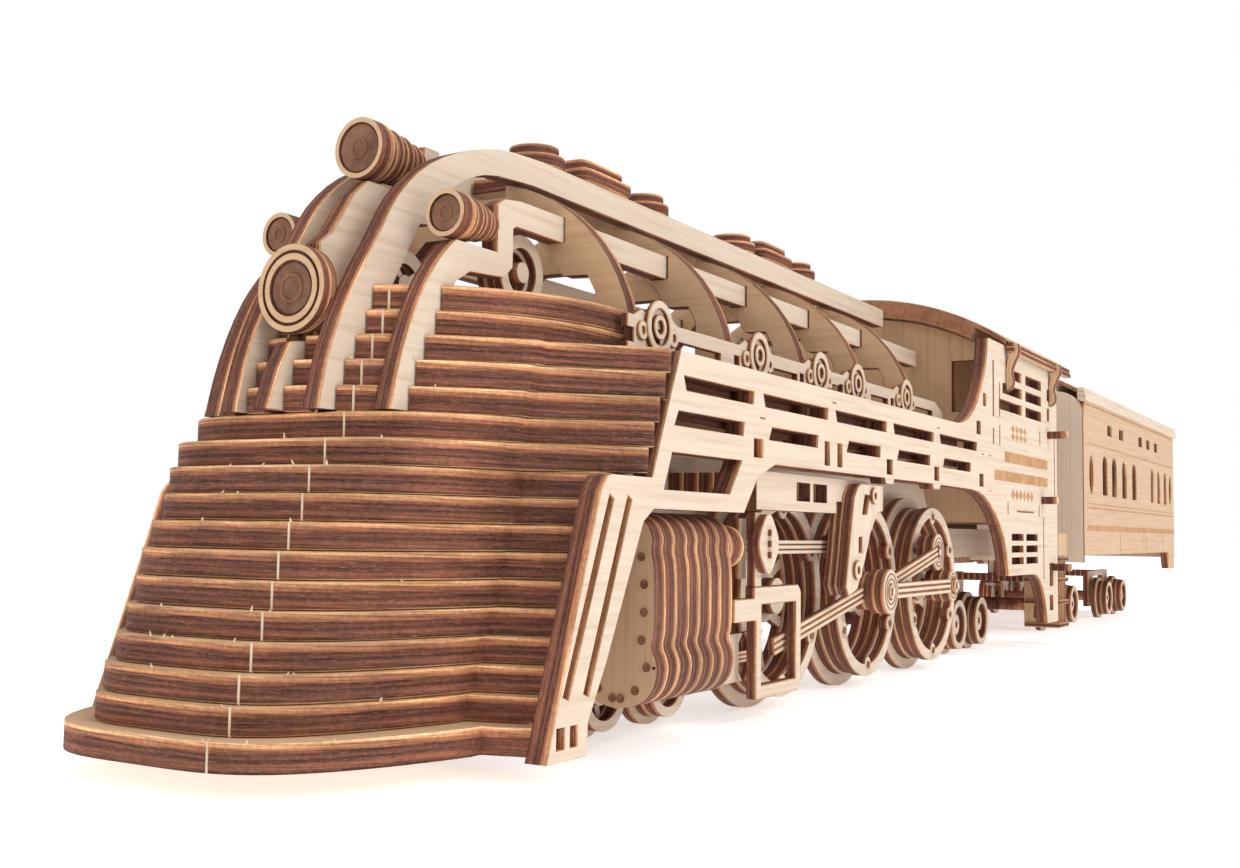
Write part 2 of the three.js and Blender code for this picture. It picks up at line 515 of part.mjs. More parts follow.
// The driving wheels' treads are open rings with a hub, spokes and, on two axles, crank pins.
function drivingWheelset(y, pins) {
  const inner = 6.6;
  const outer = 8.9;
  const hollow = SIDES.map(([, side]) => (
    rodX(y, DRIVER_Z, RING_R - 0.65, inner + 1.0, outer + 0.1, side, 20)));
  const parts = [cut(wheelset(y, DRIVER_Z, RING_R, FLANGE_R, inner, outer, 0.6, 24), ...hollow)];
  for (const [, side] of SIDES) {
    parts.push(rodX(y, DRIVER_Z, 1.2, inner + 0.5, outer, side, 12));
    for (const a of [30, 150, 210, 330]) {
      const spoke = new THREE.BoxGeometry(0.5, RING_R - 0.8, 0.45).translate(0, RING_R / 2, 0);
      parts.push(spoke.rotateX(THREE.MathUtils.degToRad(a)).translate(side * (inner + 1.2), y, DRIVER_Z));
    }
    if (pins) {
      parts.push(rodX(y - CRANK, DRIVER_Z, 0.9, inner + 0.5, outer + 0.05, side, 12));
      parts.push(rodX(y - CRANK, DRIVER_Z, 0.4, outer, 11.25, side, 10));
    }
  }
  return join(...parts);
}
DRIVER_Y.forEach((y, i) => {
  piece(`driving_wheelset_${i + 1}`, drivingWheelset(y, i > 0), burnt);
});
const smallWheelset = (y) => wheelset(y, SMALL_Z, SMALL_R - 0.35, SMALL_R, 5.4, 7.0, 0.4, 16);

// Two cheeks with a leg at each axle, tied by a crosspiece that turns on the truck's pin.
const TRUCK_X = 4.4;
const TRUCK_LOW = 0.3;
function truckFrame([front, rear], high) {
  const middle = (front + rear) / 2;
  const parts = [];
  for (const [, side] of SIDES) {
    const shape = shapeOf([
      [front - 1.1, TRUCK_LOW], [front + 1.1, TRUCK_LOW], [front + 1.6, high - 0.6],
      [rear - 1.6, high - 0.6], [rear - 1.1, TRUCK_LOW], [rear + 1.1, TRUCK_LOW],
      [rear + 1.1, high], [front - 1.1, high],
    ]);
    for (const y of [front, rear]) shape.holes.push(roundHole(y, SMALL_Z, 0.55, 8));
    parts.push(sheetYZ(shape, TRUCK_X, TRUCK_X + 0.6, side));
  }
  parts.push(box(-TRUCK_X - 0.1, TRUCK_X + 0.1, middle - 0.9, middle + 0.9, high - 0.7, high));
  return cut(join(...parts), rodZ(0, middle, 0.6, high - 1.2, high + 0.3, 14));
}
piece("pilot_truck_frame", truckFrame(PILOT_TRUCK_Y, 3.6), veneer);
PILOT_TRUCK_Y.forEach((y, i) => piece(`pilot_wheelset_${i + 1}`, smallWheelset(y), burnt));
const trailingAxles = [TRAILING_Y - 3, TRAILING_Y + 3];
piece("trailing_truck_frame", truckFrame(trailingAxles, 3.6), veneer);
trailingAxles.forEach((y, i) => piece(`trailing_wheelset_${i + 1}`, smallWheelset(y), burnt));

// ---- Cab --------------------------------------------------------------------------------------
const CAB_Y = [61.6, 75.2];
const ROOF_R = 20.2;
const ROOF_TOP = 25.45;
const ROOF_T = 1.2;
const roofAngle = (x, r) => THREE.MathUtils.radToDeg(Math.acos(x / r));
function roofArc(r, halfWidth, steps) {
  return arc(0, ROOF_TOP - ROOF_R, r, r, roofAngle(halfWidth, r), 180 - roofAngle(halfWidth, r), steps);
}
const WALL_X = SIDE_X - PANEL_T - GAP;
function cabWall(hasDoor) {
  const shape = shapeOf([...roofArc(ROOF_R - ROOF_T - GAP, WALL_X, 14), [-WALL_X, 8.8], [WALL_X, 8.8]]);
  if (hasDoor) {
    shape.holes.push(rectHole(-2.4, 9.4, 2.4, 20));
  } else {
    for (const side of [1, -1]) {
      const xs = [side * 7.2, side * 9.6];
      shape.holes.push(rectHole(Math.min(...xs), 16.9, Math.max(...xs), 20.6));
    }
  }
  return shape;
}
// The front wall carries the rounded backhead of the boiler on its inner face.
piece("cab_front_wall", join(
  sheetXZ(cabWall(false), CAB_Y[0], CAB_Y[0] + SHEET),
  sheetXZ(
    shapeOf([...arc(0, 15, 6.2, 6.2, 0, 180, 16), [-6.2, 8.9], [6.2, 8.9]]),
    CAB_Y[0] + 0.7, CAB_Y[0] + 2,
  ),
), warm);
piece("cab_rear_wall", sheetXZ(cabWall(true), CAB_Y[1], CAB_Y[1] + SHEET), warm);
// The roof arches over both side panels, and it is notched to clear their top edges.
const roofOuter = roofArc(ROOF_R, 11.85, 22);
const roofInner = roofArc(ROOF_R - ROOF_T, 11.65, 22).reverse();
piece("cab_roof", cut(
  sheetXZ(shapeOf([...roofOuter, ...roofInner]), 60.3, 78.7),
  box(-14, -10.35, 55, 77, 20, 21.4 + GAP), box(10.35, 14, 55, 77, 20, 21.4 + GAP),
), burnt);

// ---- Roof hatches between the top rails -------------------------------------------------------
const hatchParts = [box(-1.5, 1.5, 14.6, 50.5, 23.45, 24.2)];
for (const y of [17.4, 28.0, 39.2, 49.0]) hatchParts.push(rodZ(0, y, 1.5, 24.1, 26.2, 18));
for (const [y0, y1] of [[19.9, 24.8], [41.2, 46.0]]) {
  hatchParts.push(box(-1.45, 1.45, y0, y1, 24.1, 26.0), box(-1.1, 1.1, y0 + 0.5, y1 - 0.5, 25.9, 26.5));
}
piece("roof_hatches", join(...hatchParts), burnt);

// ---- Coach ------------------------------------------------------------------------------------
const [COACH_FRONT, COACH_REAR] = COACH_Y;
const EAVE = 20.6;
const COACH_LOW = 5.6;
const ARCHED_WINDOW_Y = [96.2, 100.7, 105.9, 111.4, 122.4, 126.8, 131.2];
const OVAL_WINDOW_Y = [90, 134.9];
const VENT_Y = [98.6, 104.4, 115.2, 120, 125];
function coachSide() {
  const shape = shapeOf([
    [COACH_FRONT, 6.3], [COACH_REAR - 4.6, 6.3], [COACH_REAR - 3.6, 4.4], [COACH_REAR, 4.4],
    [COACH_REAR, EAVE], [COACH_FRONT + 1.4, EAVE], [COACH_FRONT, EAVE - 2.4],
  ]);
  for (const y of ARCHED_WINDOW_Y) {
    const w = y < 115 ? 1.15 : 0.95;
    shape.holes.push(holeOf([[y - w, 11.8], [y + w, 11.8], ...arc(y, 14.7, w, 0.8, 0, 180, 4)]));
  }
  for (const y of OVAL_WINDOW_Y) shape.holes.push(holeOf(arc(y, 13.5, 0.95, 1.75, 0, 330, 11)));
  for (const y of VENT_Y) shape.holes.push(rectHole(y - 1.1, 17.5, y + 1.1, 18.5));
  return shape;
}
for (const [name, side] of SIDES) {
  piece(`coach_side_${name}`, sheetYZ(coachSide(), SIDE_X - PANEL_T, SIDE_X, side), veneer);
}
const COACH_ROOF_R = 21.5;
const COACH_ROOF_TOP = 23.9;
const coachArc = (r, half, steps) => {
  const a = THREE.MathUtils.radToDeg(Math.acos(half / r));
  return arc(0, COACH_ROOF_TOP - COACH_ROOF_R, r, r, a, 180 - a, steps);
};
const endWall = () => {
  const shape = shapeOf([
    ...coachArc(COACH_ROOF_R - 1 - GAP, WALL_X, 14), [-WALL_X, COACH_LOW + 0.1], [WALL_X, COACH_LOW + 0.1],
  ]);
  shape.holes.push(rectHole(-2.2, 8.2, 2.2, 18.5));
  return shape;
};
piece("coach_floor_and_ends", cut(join(
  box(-WALL_X, WALL_X, COACH_FRONT + 0.2, COACH_REAR - 0.2, COACH_LOW + 0.75, COACH_LOW + 1.55),
  sheetXZ(endWall(), COACH_FRONT + 0.3, COACH_FRONT + 1.1),
  sheetXZ(endWall(), COACH_REAR - 1.1, COACH_REAR - 0.3),
  box(-1.5, 1.5, DRAWBAR_Y - 1.2, COACH_FRONT + 0.6, COACH_LOW - 0.15, COACH_LOW + 0.6),
  box(-1.5, 1.5, COACH_FRONT + 0.3, COACH_FRONT + 2.2, COACH_LOW - 0.1, COACH_LOW + 1.0),
  ...BOGIE_Y.map((y) => headedPin(y, 3.0, COACH_LOW + 0.9)),
), rodZ(0, DRAWBAR_Y, 0.6, COACH_LOW - 0.5, COACH_LOW + 1, 14)), veneer);
const coachRoofShape = shapeOf([
  ...coachArc(COACH_ROOF_R, 11.5, 22), ...coachArc(COACH_ROOF_R - 1, 11.2, 22).reverse(),
]);
piece("coach_roof", cut(
  sheetXZ(coachRoofShape, COACH_FRONT - 0.2, COACH_REAR + 0.2),
  box(-14, -10.2, 80, 140, 18, EAVE + GAP), box(10.2, 14, 80, 140, 18, EAVE + GAP),
), warm);
BOGIE_Y.forEach((y, i) => {
  const axles = [y - BOGIE_HALF, y + BOGIE_HALF];
  piece(`bogie_frame_${i + 1}`, truckFrame(axles, 4.2), veneer);
  axles.forEach((axle, k) => piece(`bogie_wheelset_${2 * i + k + 1}`, smallWheelset(axle), burnt));
});

export default train;
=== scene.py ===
# Looks for the plywood locomotive and coach: laser-cut sheets, burnt edges, lamps, wheels and rods.
import json
import math
import random

import bmesh
import bpy
from mathutils import Matrix, Vector


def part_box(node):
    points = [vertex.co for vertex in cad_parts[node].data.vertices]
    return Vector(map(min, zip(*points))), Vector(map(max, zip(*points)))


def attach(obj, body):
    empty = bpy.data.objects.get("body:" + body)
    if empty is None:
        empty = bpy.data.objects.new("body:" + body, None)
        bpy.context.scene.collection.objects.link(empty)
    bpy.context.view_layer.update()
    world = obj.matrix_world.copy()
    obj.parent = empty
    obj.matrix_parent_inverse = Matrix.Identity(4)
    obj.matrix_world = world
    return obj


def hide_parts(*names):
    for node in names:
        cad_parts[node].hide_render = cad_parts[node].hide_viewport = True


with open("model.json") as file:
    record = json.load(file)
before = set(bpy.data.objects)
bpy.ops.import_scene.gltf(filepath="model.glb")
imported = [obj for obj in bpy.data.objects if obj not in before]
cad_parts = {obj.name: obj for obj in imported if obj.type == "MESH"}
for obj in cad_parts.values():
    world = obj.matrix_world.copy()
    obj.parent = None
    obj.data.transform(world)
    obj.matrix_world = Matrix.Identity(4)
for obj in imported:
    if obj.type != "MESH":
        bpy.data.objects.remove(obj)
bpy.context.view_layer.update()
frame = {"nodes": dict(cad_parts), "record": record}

# ---- Driving dimensions, in plies of 4 mm, in the CAD model's own drawing frame ----------------------
PLY = 0.004
GROUND = -0.9
MID_Y = 66.291
GAP = 0.09
SIDE_X = 11.35
PANEL_T = 0.9
SHEET = 0.8
RAIL_X = 2.07
BRACKET_X = 4.34
DRIVER_Y = [27.1, 39.3, 51.5]
DRIVER_Z = 4.7
CRANK = 2.35
PIN_Y = [DRIVER_Y[1] - CRANK, DRIVER_Y[2] - CRANK]
SMALL_Z = 1.3
CHAMFER = 0.05
VALVE_ROD_Z = 7.17
STRIP_X = 8.4
STRIP_HUMPS_Y = (14.0, 24.1, 32.0, 37.6, 46.2)
BULKHEAD_Y = (13.2, 22.5, 31.6, 40.5, 49.5)
CAB_WALL_Y = {"front": 61.6, "rear": 75.2}
CAB_ROOF_Y = (60.3, 78.7)
COACH_ROOF_Y = (86.4, 137.6)
COACH_BAND_Y = (88.0, 137.3)
BOILER_DECK_Z = 24.15
SIDES = (("left", 1), ("right", -1))
# A piece's material slots: cut face, burnt edge with painted shade along its depth-0 side, bevelled arris,
# dark plugs and rings, lamp rings.
FACE, EDGE, ARRIS, DARK, MARK = range(5)


def at(x, y, z):
    return Vector((x * PLY, (y - MID_Y) * PLY, (z - GROUND) * PLY))


# ---- Materials ---------------------------------------------------------------------------------------
def node(tree, kind, **values):
    made = tree.nodes.new(kind)
    for key, value in values.items():
        if key in made.inputs:
            made.inputs[key].default_value = value
        else:
            setattr(made, key, value)
    return made


def ramp(tree, fac, stops):
    made = tree.nodes.new("ShaderNodeValToRGB")
    tree.links.new(fac, made.inputs["Fac"])
    elements = made.color_ramp.elements
    while len(elements) < len(stops):
        elements.new(0.5)
    for element, (place, colour) in zip(elements, stops):
        element.position = place
        element.color = (*colour, 1)
    return made.outputs["Color"]


def math_node(tree, kind, a, b=None, c=None):
    made = tree.nodes.new("ShaderNodeMath")
    made.operation = kind
    for i, value in enumerate((a, b, c)):
        if value is None:
            continue
        if isinstance(value, (int, float)):
            made.inputs[i].default_value = value
        else:
            tree.links.new(value, made.inputs[i])
    return made.outputs[0]


def mix(tree, fac, a, b, blend="MIX"):
    made = tree.nodes.new("ShaderNodeMix")
    made.data_type = "RGBA"
    made.blend_type = blend
    for socket, value in ((made.inputs["Factor"], fac), (made.inputs["A"], a), (made.inputs["B"], b)):
        if isinstance(value, (int, float)):
            socket.default_value = value
        elif isinstance(value, tuple):
            socket.default_value = (*value, 1)
        else:
            tree.links.new(value, socket)
    return made.outputs["Result"]


def scaled(tree, vector, scale):
    made = tree.nodes.new("ShaderNodeVectorMath")
    made.operation = "MULTIPLY"
    tree.links.new(vector, made.inputs[0])
    made.inputs[1].default_value = scale
    return made.outputs["Vector"]


def noise(tree, vector, scale, detail=4.0, roughness=0.6):
    made = node(tree, "ShaderNodeTexNoise", Scale=scale, Detail=detail, Roughness=roughness)
    tree.links.new(vector, made.inputs["Vector"])
    return made.outputs["Fac"]


AXES = {"x": 0, "y": 1, "z": 2}
GRAIN = {"x": (26, 900, 900), "y": (900, 26, 900), "z": (900, 900, 26)}
CREAM = (0.69, 0.57, 0.455)
# The tan veneer colour is a darker copy of CREAM: painted shade on front-facing faces (lamps, cylinders,
# bulkheads, cab walls, roof brackets), a darker tone on the others.
TAN_AND_SHADE = (0.60, 0.40, 0.245)
COACH_TAN = (0.60, 0.42, 0.28)


def face_colour(tree, place, grain, light):
    """Pale birch veneer: fine grain lines, short pores and slow cloudy patches."""
    fibres = noise(tree, scaled(tree, place, GRAIN[grain]), 1.0, 5.0, 0.65)
    clouds = noise(tree, place, 45.0, 3.0)
    pores = noise(tree, scaled(tree, place, tuple(v * 2.2 for v in GRAIN[grain])), 1.0, 2.0)
    dark = tuple(c * f for c, f in zip(light, (0.86, 0.80, 0.72)))
    wood = ramp(tree, fibres, [(0.30, dark), (0.50, light), (0.72, tuple(min(1, c * 1.07) for c in light))])
    wood = mix(tree, math_node(tree, "MULTIPLY", clouds, 0.22), wood, dark)
    specks = math_node(tree, "GREATER_THAN", pores, 0.70)
    pitted = mix(tree, math_node(tree, "MULTIPLY", specks, 0.22), wood, tuple(c * 0.55 for c in light))
    return pitted, fibres


def shaded(tree, colour, pattern, stops):
    """Multiplies a colour by a ramp of greys, given as (place in the pattern, brightness) stops."""
    greys = ramp(tree, pattern, [(place, (grey,) * 3) for place, grey in stops])
    return mix(tree, 1.0, colour, greys, "MULTIPLY")


def edge_colour(tree, place, depth):
    """Laser-burnt plywood edge: veneer bands through the thickness, darkest at depth 0 as painted shade,
    scorch patches, pale torn fibres.
    """
    spread = node(tree, "ShaderNodeCombineXYZ")
    for socket in spread.inputs:
        tree.links.new(math_node(tree, "MULTIPLY", depth, 0.075), socket)
    shifted = tree.nodes.new("ShaderNodeVectorMath")
    tree.links.new(place, shifted.inputs[0])
    tree.links.new(spread.outputs[0], shifted.inputs[1])
    streak = noise(tree, shifted.outputs[0], 75.0, 6.0, 0.72)
    wobble = math_node(tree, "MULTIPLY_ADD", streak, 0.26, math_node(tree, "SUBTRACT", depth, 0.13))
    # The near-black first stop, at depth 0, is painted shade along that side of every edge.
    bands_and_shade = ramp(tree, wobble, [
        (0.00, (0.040, 0.015, 0.010)), (0.09, (0.120, 0.042, 0.025)), (0.27, (0.215, 0.080, 0.048)),
        (0.41, (0.075, 0.026, 0.018)), (0.52, (0.150, 0.053, 0.033)), (0.63, (0.085, 0.030, 0.020)),
        (0.70, (0.270, 0.100, 0.055)), (0.80, (0.360, 0.150, 0.075)), (0.91, (0.560, 0.290, 0.140)),
        (1.00, (0.740, 0.490, 0.280)),
    ])
    scorch = ramp(tree, streak, [(0.36, (0.42,) * 3), (0.50, (1.0,) * 3), (0.66, (1.75, 1.6, 1.5))])
    bands_and_shade = mix(tree, 1.0, bands_and_shade, scorch, "MULTIPLY")
    bands_and_shade = shaded(tree, bands_and_shade, noise(tree, place, 30.0, 3.0, 0.6), [(0.38, 0.78), (0.62, 1.30)])
    bands_and_shade = shaded(tree, bands_and_shade, noise(tree, place, 1500.0, 2.0), [(0.3, 0.80), (0.7, 1.18)])
    flecks = noise(tree, shifted.outputs[0], 700.0, 3.0, 0.75)
    torn = math_node(tree, "MULTIPLY", math_node(tree, "GREATER_THAN", flecks, 0.615), 0.6)
    bands_and_shade = mix(tree, torn, bands_and_shade, (0.56, 0.32, 0.17))
    return bands_and_shade, streak


def finish_material(tree, colour, height, strength, rough_from, rough_to, rough_fac):
    shader = node(tree, "ShaderNodeBsdfPrincipled")
    shader.inputs["Specular IOR Level"].default_value = 0.28
    out = node(tree, "ShaderNodeOutputMaterial")
    span = node(tree, "ShaderNodeMapRange")
    span.inputs["To Min"].default_value = rough_from
    span.inputs["To Max"].default_value = rough_to
    tree.links.new(rough_fac, span.inputs["Value"])
    bump = node(tree, "ShaderNodeBump", Strength=strength, Distance=0.0004)
    tree.links.new(height, bump.inputs["Height"])
    tree.links.new(bump.outputs["Normal"], shader.inputs["Normal"])
    tree.links.new(span.outputs["Result"], shader.inputs["Roughness"])
    tree.links.new(colour, shader.inputs["Base Color"])
    tree.links.new(shader.outputs[0], out.inputs["Surface"])


def new_material(name):
    made = bpy.data.materials.new(name)
    made.use_nodes = True
    made.node_tree.nodes.clear()
    place = made.node_tree.nodes.new("ShaderNodeTexCoord").outputs["Object"]
    return made, made.node_tree, place


def face_material(name, grain, light=CREAM):
    made, tree, place = new_material(name)
    colour, fibres = face_colour(tree, place, grain, light)
    finish_material(tree, colour, fibres, 0.12, 0.60, 0.78, fibres)
    made.diffuse_color = (*light, 1)
    return made


def edge_material(name):
    """The edge of a sheet built here, whose 'depth' attribute runs from 0 to 1 through its thickness."""
    made, tree, place = new_material(name)
    depth = node(tree, "ShaderNodeAttribute", attribute_name="depth").outputs["Fac"]
    colour, streak = edge_colour(tree, place, depth)
    finish_material(tree, colour, streak, 0.35, 0.62, 0.86, streak)
    made.diffuse_color = (0.2, 0.07, 0.04, 1)
    return made


def arris_material(name, dark, light):
    made, tree, place = new_material(name)
    patches = noise(tree, place, 160.0, 5.0, 0.7)
    colour = ramp(tree, patches, [(0.33, dark), (0.66, light)])
    finish_material(tree, colour, patches, 0.2, 0.6, 0.8, patches)
    return made


def sheet_material(name, axis, low, thick, grain, light=CREAM):
    """One material for a CAD sheet: veneer where the normal lies along the axis, burnt edge elsewhere,
    darkest at depth 0 as painted shade.
    """
    made, tree, place = new_material(name)
    coords = tree.nodes.new("ShaderNodeSeparateXYZ")
    tree.links.new(place, coords.inputs[0])
    normals = tree.nodes.new("ShaderNodeSeparateXYZ")
    texture = tree.nodes.new("ShaderNodeTexCoord")
    tree.links.new(texture.outputs["Normal"], normals.inputs[0])
    along = math_node(tree, "ABSOLUTE", normals.outputs[AXES[axis]])
    depth = math_node(tree, "DIVIDE", math_node(tree, "SUBTRACT", coords.outputs[AXES[axis]], low), thick)
    depth = math_node(tree, "FRACT", math_node(tree, "ABSOLUTE", depth))
    face, fibres = face_colour(tree, place, grain, light)
    edge, streak = edge_colour(tree, place, depth)
    is_face = math_node(tree, "GREATER_THAN", along, 0.93)
    rim = math_node(tree, "MULTIPLY", math_node(tree, "GREATER_THAN", along, 0.45), 0.8)
    colour = mix(tree, is_face, mix(tree, rim, edge, (0.36, 0.165, 0.075)), face)
    height = mix(tree, is_face, streak, fibres)
    finish_material(tree, colour, height, 0.2, 0.60, 0.82, streak)
    made.diffuse_color = (*light, 1)
    return made


VENEER = {axis: face_material(f"veneer_along_{axis}", axis) for axis in "xyz"}
# Tan veneers: painted shade on front-facing faces, a darker tone elsewhere.
TAN_AND_SHADE_VENEER = {axis: face_material(f"tan_and_shade_veneer_along_{axis}", axis, TAN_AND_SHADE) for axis in "xyz"}
# Burnt edges, with painted shade along their depth-0 side.
BURNT_EDGE_AND_SHADE = edge_material("burnt_edge_and_shade")
SCORCHED_FACE = arris_material("engraved_plug", (0.11, 0.048, 0.028), (0.26, 0.13, 0.075))
ENGRAVED = arris_material("engraved_patch", (0.40, 0.195, 0.085), (0.58, 0.325, 0.155))
INK = arris_material("scorched_line", (0.16, 0.062, 0.034), (0.30, 0.13, 0.065))
GLOW = arris_material("toasted_arris", (0.40, 0.185, 0.08), (0.66, 0.40, 0.20))
# Plank ends: burnt brown, painted lighter to stand in for light on the shaded roof fronts.
PAINTED_LIGHT_PLANK_END = arris_material("plank_end_painted_light", (0.21, 0.082, 0.045), (0.42, 0.20, 0.105))
PALE = arris_material("pale_joint", (0.55, 0.40, 0.26), (0.82, 0.68, 0.50))


# ---- Sheet building ----------------------------------------------------------------------------------
def arc(cx, cy, rx, ry, start, end, steps):
    return [(cx + rx * math.cos(math.radians(start + (end - start) * i / steps)),
             cy + ry * math.sin(math.radians(start + (end - start) * i / steps))) for i in range(steps + 1)]


def circle(cx, cy, r, steps=48):
    return arc(cx, cy, r, r, 0, 360 - 360 / steps, steps - 1)


def rect(x0, y0, x1, y1):
    return [(x0, y0), (x1, y0), (x1, y1), (x0, y1)]


PLANES = {
    "x": lambda u, v, w: (w, u, v),
    "y": lambda u, v, w: (u, w, v),
    "z": lambda u, v, w: (u, v, w),
}


class Piece:
    """Collects sheets into one mesh, with a 'depth' attribute and face, edge and arris materials."""

    def __init__(self, name, body, slot="face_ply"):
        self.name, self.body, self.slot = name, body, slot
        self.mesh = bmesh.new()
        self.depth = self.mesh.verts.layers.float.new("depth")

    def sheet(self, outline, low, high, axis="x", side=1, holes=(), face=FACE, edge=EDGE):
        """Fills outline, less its holes, from low to high along axis, mirrored in X when side is -1."""
        if axis == "x" and side < 0:
            low, high = -high, -low
        mirror = side if axis != "x" else 1
        rim_edges = []
        for loop in (outline, *holes):
            verts = [self.mesh.verts.new(at(*PLANES[axis](u * mirror, v, low))) for u, v in loop]
            rim_edges += [self.mesh.edges.new((a, b)) for a, b in zip(verts, verts[1:] + verts[:1])]
        filled = bmesh.ops.triangle_fill(self.mesh, edges=rim_edges, use_beauty=True, use_dissolve=False)
        faces = [g for g in filled["geom"] if isinstance(g, bmesh.types.BMFace)]
        base = {v for f in faces for v in f.verts}
        grown = bmesh.ops.extrude_face_region(self.mesh, geom=faces, use_keep_orig=True)["geom"]
        top = [g for g in grown if isinstance(g, bmesh.types.BMVert)]
        move = Vector(PLANES[axis](0, 0, high - low)) * PLY
        for v in top:
            v.co += move
        swap = axis == "x" and side < 0
        for v in base:
            v[self.depth] = 1.0 if swap else 0.0
        for v in top:
            v[self.depth] = 0.0 if swap else 1.0
        solid = {f for v in (*base, *top) for f in v.link_faces}
        bmesh.ops.recalc_face_normals(self.mesh, faces=list(solid))
        straight = Vector(PLANES[axis](0, 0, 1))
        for f in solid:
            f.material_index = face if abs(f.normal.dot(straight)) > 0.9 else edge
        return self

    def box(self, x0, x1, y0, y1, z0, z1, side=1, axis="x", face=FACE, edge=EDGE):
        if axis == "x":
            return self.sheet(rect(y0, z0, y1, z1), x0, x1, "x", side, face=face, edge=edge)
        if axis == "y":
            return self.sheet(rect(x0, z0, x1, z1), y0, y1, "y", side, face=face, edge=edge)
        return self.sheet(rect(x0, y0, x1, y1), z0, z1, "z", side, face=face, edge=edge)

    def disc(self, a, b, r, low, high, axis="x", side=1, hole=0.0, steps=48, face=FACE, edge=EDGE):
        holes = [circle(a, b, hole, steps)] if hole else []
        return self.sheet(circle(a, b, r, steps), low, high, axis, side, holes, face, edge)

    def done(self, materials, replaces=(), chamfer=CHAMFER):
        mesh = bpy.data.meshes.new(self.name)
        weight = self.mesh.edges.layers.float.new("bevel_weight_edge")
        for e in self.mesh.edges:
            e[weight] = 1.0 if len({f.material_index for f in e.link_faces}) > 1 else 0.0
        for f in self.mesh.faces:
            f.smooth = True
        self.mesh.to_mesh(mesh)
        self.mesh.free()
        for material in materials:
            mesh.materials.append(material)
        mesh.set_sharp_from_angle(angle=math.radians(32))
        made = bpy.data.objects.new(self.name, mesh)
        bpy.context.scene.collection.objects.link(made)
        if chamfer:
            bevel(made, chamfer, ARRIS if len(materials) > ARRIS else -1, "WEIGHT")
        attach(made, self.body)
        if replaces:
            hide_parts(*replaces)


def bevel(obj, width, material=-1, limit="ANGLE"):
    made = obj.modifiers.new("arris", "BEVEL")
    made.width = width * PLY
    made.segments = 1
    made.limit_method = limit
    made.angle_limit = math.radians(40)
    made.material = material
    made.harden_normals = True
    made.use_clamp_overlap = True


FLAT = [VENEER["y"], BURNT_EDGE_AND_SHADE, GLOW]

# ---- Nose: seventeen stacked layers, each with its own rounded front, rib slots and pale joints ------
SEAM_X = 3.13
SEAM_W = 0.05
# Y of each layer's front edge at SEAM_X, from the bottom up.
SEAM_Y = [-4.85, -3.95, -3.6, -3.1, -2.65, -2.25, -2, -1.55, -0.95, -0.65, 0.1, 1.05, 1.5, 1.9, 2.45, 2.95,
          3.3]
FIRST_SLOTTED = 13
SQUARE_LAYERS = 12
WINGED_LAYERS = 10
CROWN_FIRST = 16
CROWN_X = 8.1
CROWN_REAR_Y = 11.3
PANEL_INNER_X = SIDE_X - PANEL_T - GAP
OUTLINE_STEPS = 40
WING_STEP = 0.6
WING_SLOPE = 0.3
# How far back each rib's rear edge stands at a height, as (height, Y) corners.
RIB_REAR = {
    0.0: [(12, 2.0), (12.9, 2.3), (14.6, 3.3), (17.1, 4.6)],
    RAIL_X: [(12, 2.05), (13.6, 2.5), (16, 3.6), (18.2, 4.9)],
    BRACKET_X: [(12, 3.55), (14.5, 4.0), (16.2, 4.7), (17.3, 5.3)],
}


def fall(n):
    """How fast a layer's front falls back: a fourth power of x up to SQUARE_LAYERS, then a parabola."""
    if n == 1:
        return 0.00177
    if n <= 10:
        return 0.0031 - 0.00015 * (n - 2)
    return 0.0013 if n <= SQUARE_LAYERS else 0.082 - 0.004 * (n - 13)


def step_x(n):
    return 8.05 if n == 1 else 6.95 + 0.075 * (n - 2)


def front_y(n, x):
    """Y of layer n's front edge at x."""
    if n >= CROWN_FIRST:
        reach = CROWN_REAR_Y - (SEAM_Y[n - 1] - 0.65)
        return CROWN_REAR_Y - reach * math.sqrt(max(0.0, 1 - (x / CROWN_X) ** 2))
    power = 4 if n <= SQUARE_LAYERS else 2
    return SEAM_Y[n - 1] + fall(n) * (abs(x) ** power - SEAM_X ** power)


def rib_rear(x, z):
    corners = RIB_REAR[x]
    for (z0, y0), (z1, y1) in zip(corners, corners[1:]):
        if z <= z1:
            return y0 + (y1 - y0) * (z - z0) / (z1 - z0)
    return corners[-1][1]


def layer_rear(n):
    return 12.4 if n > SQUARE_LAYERS else min(9.2, 3.95 + 0.5 * n)


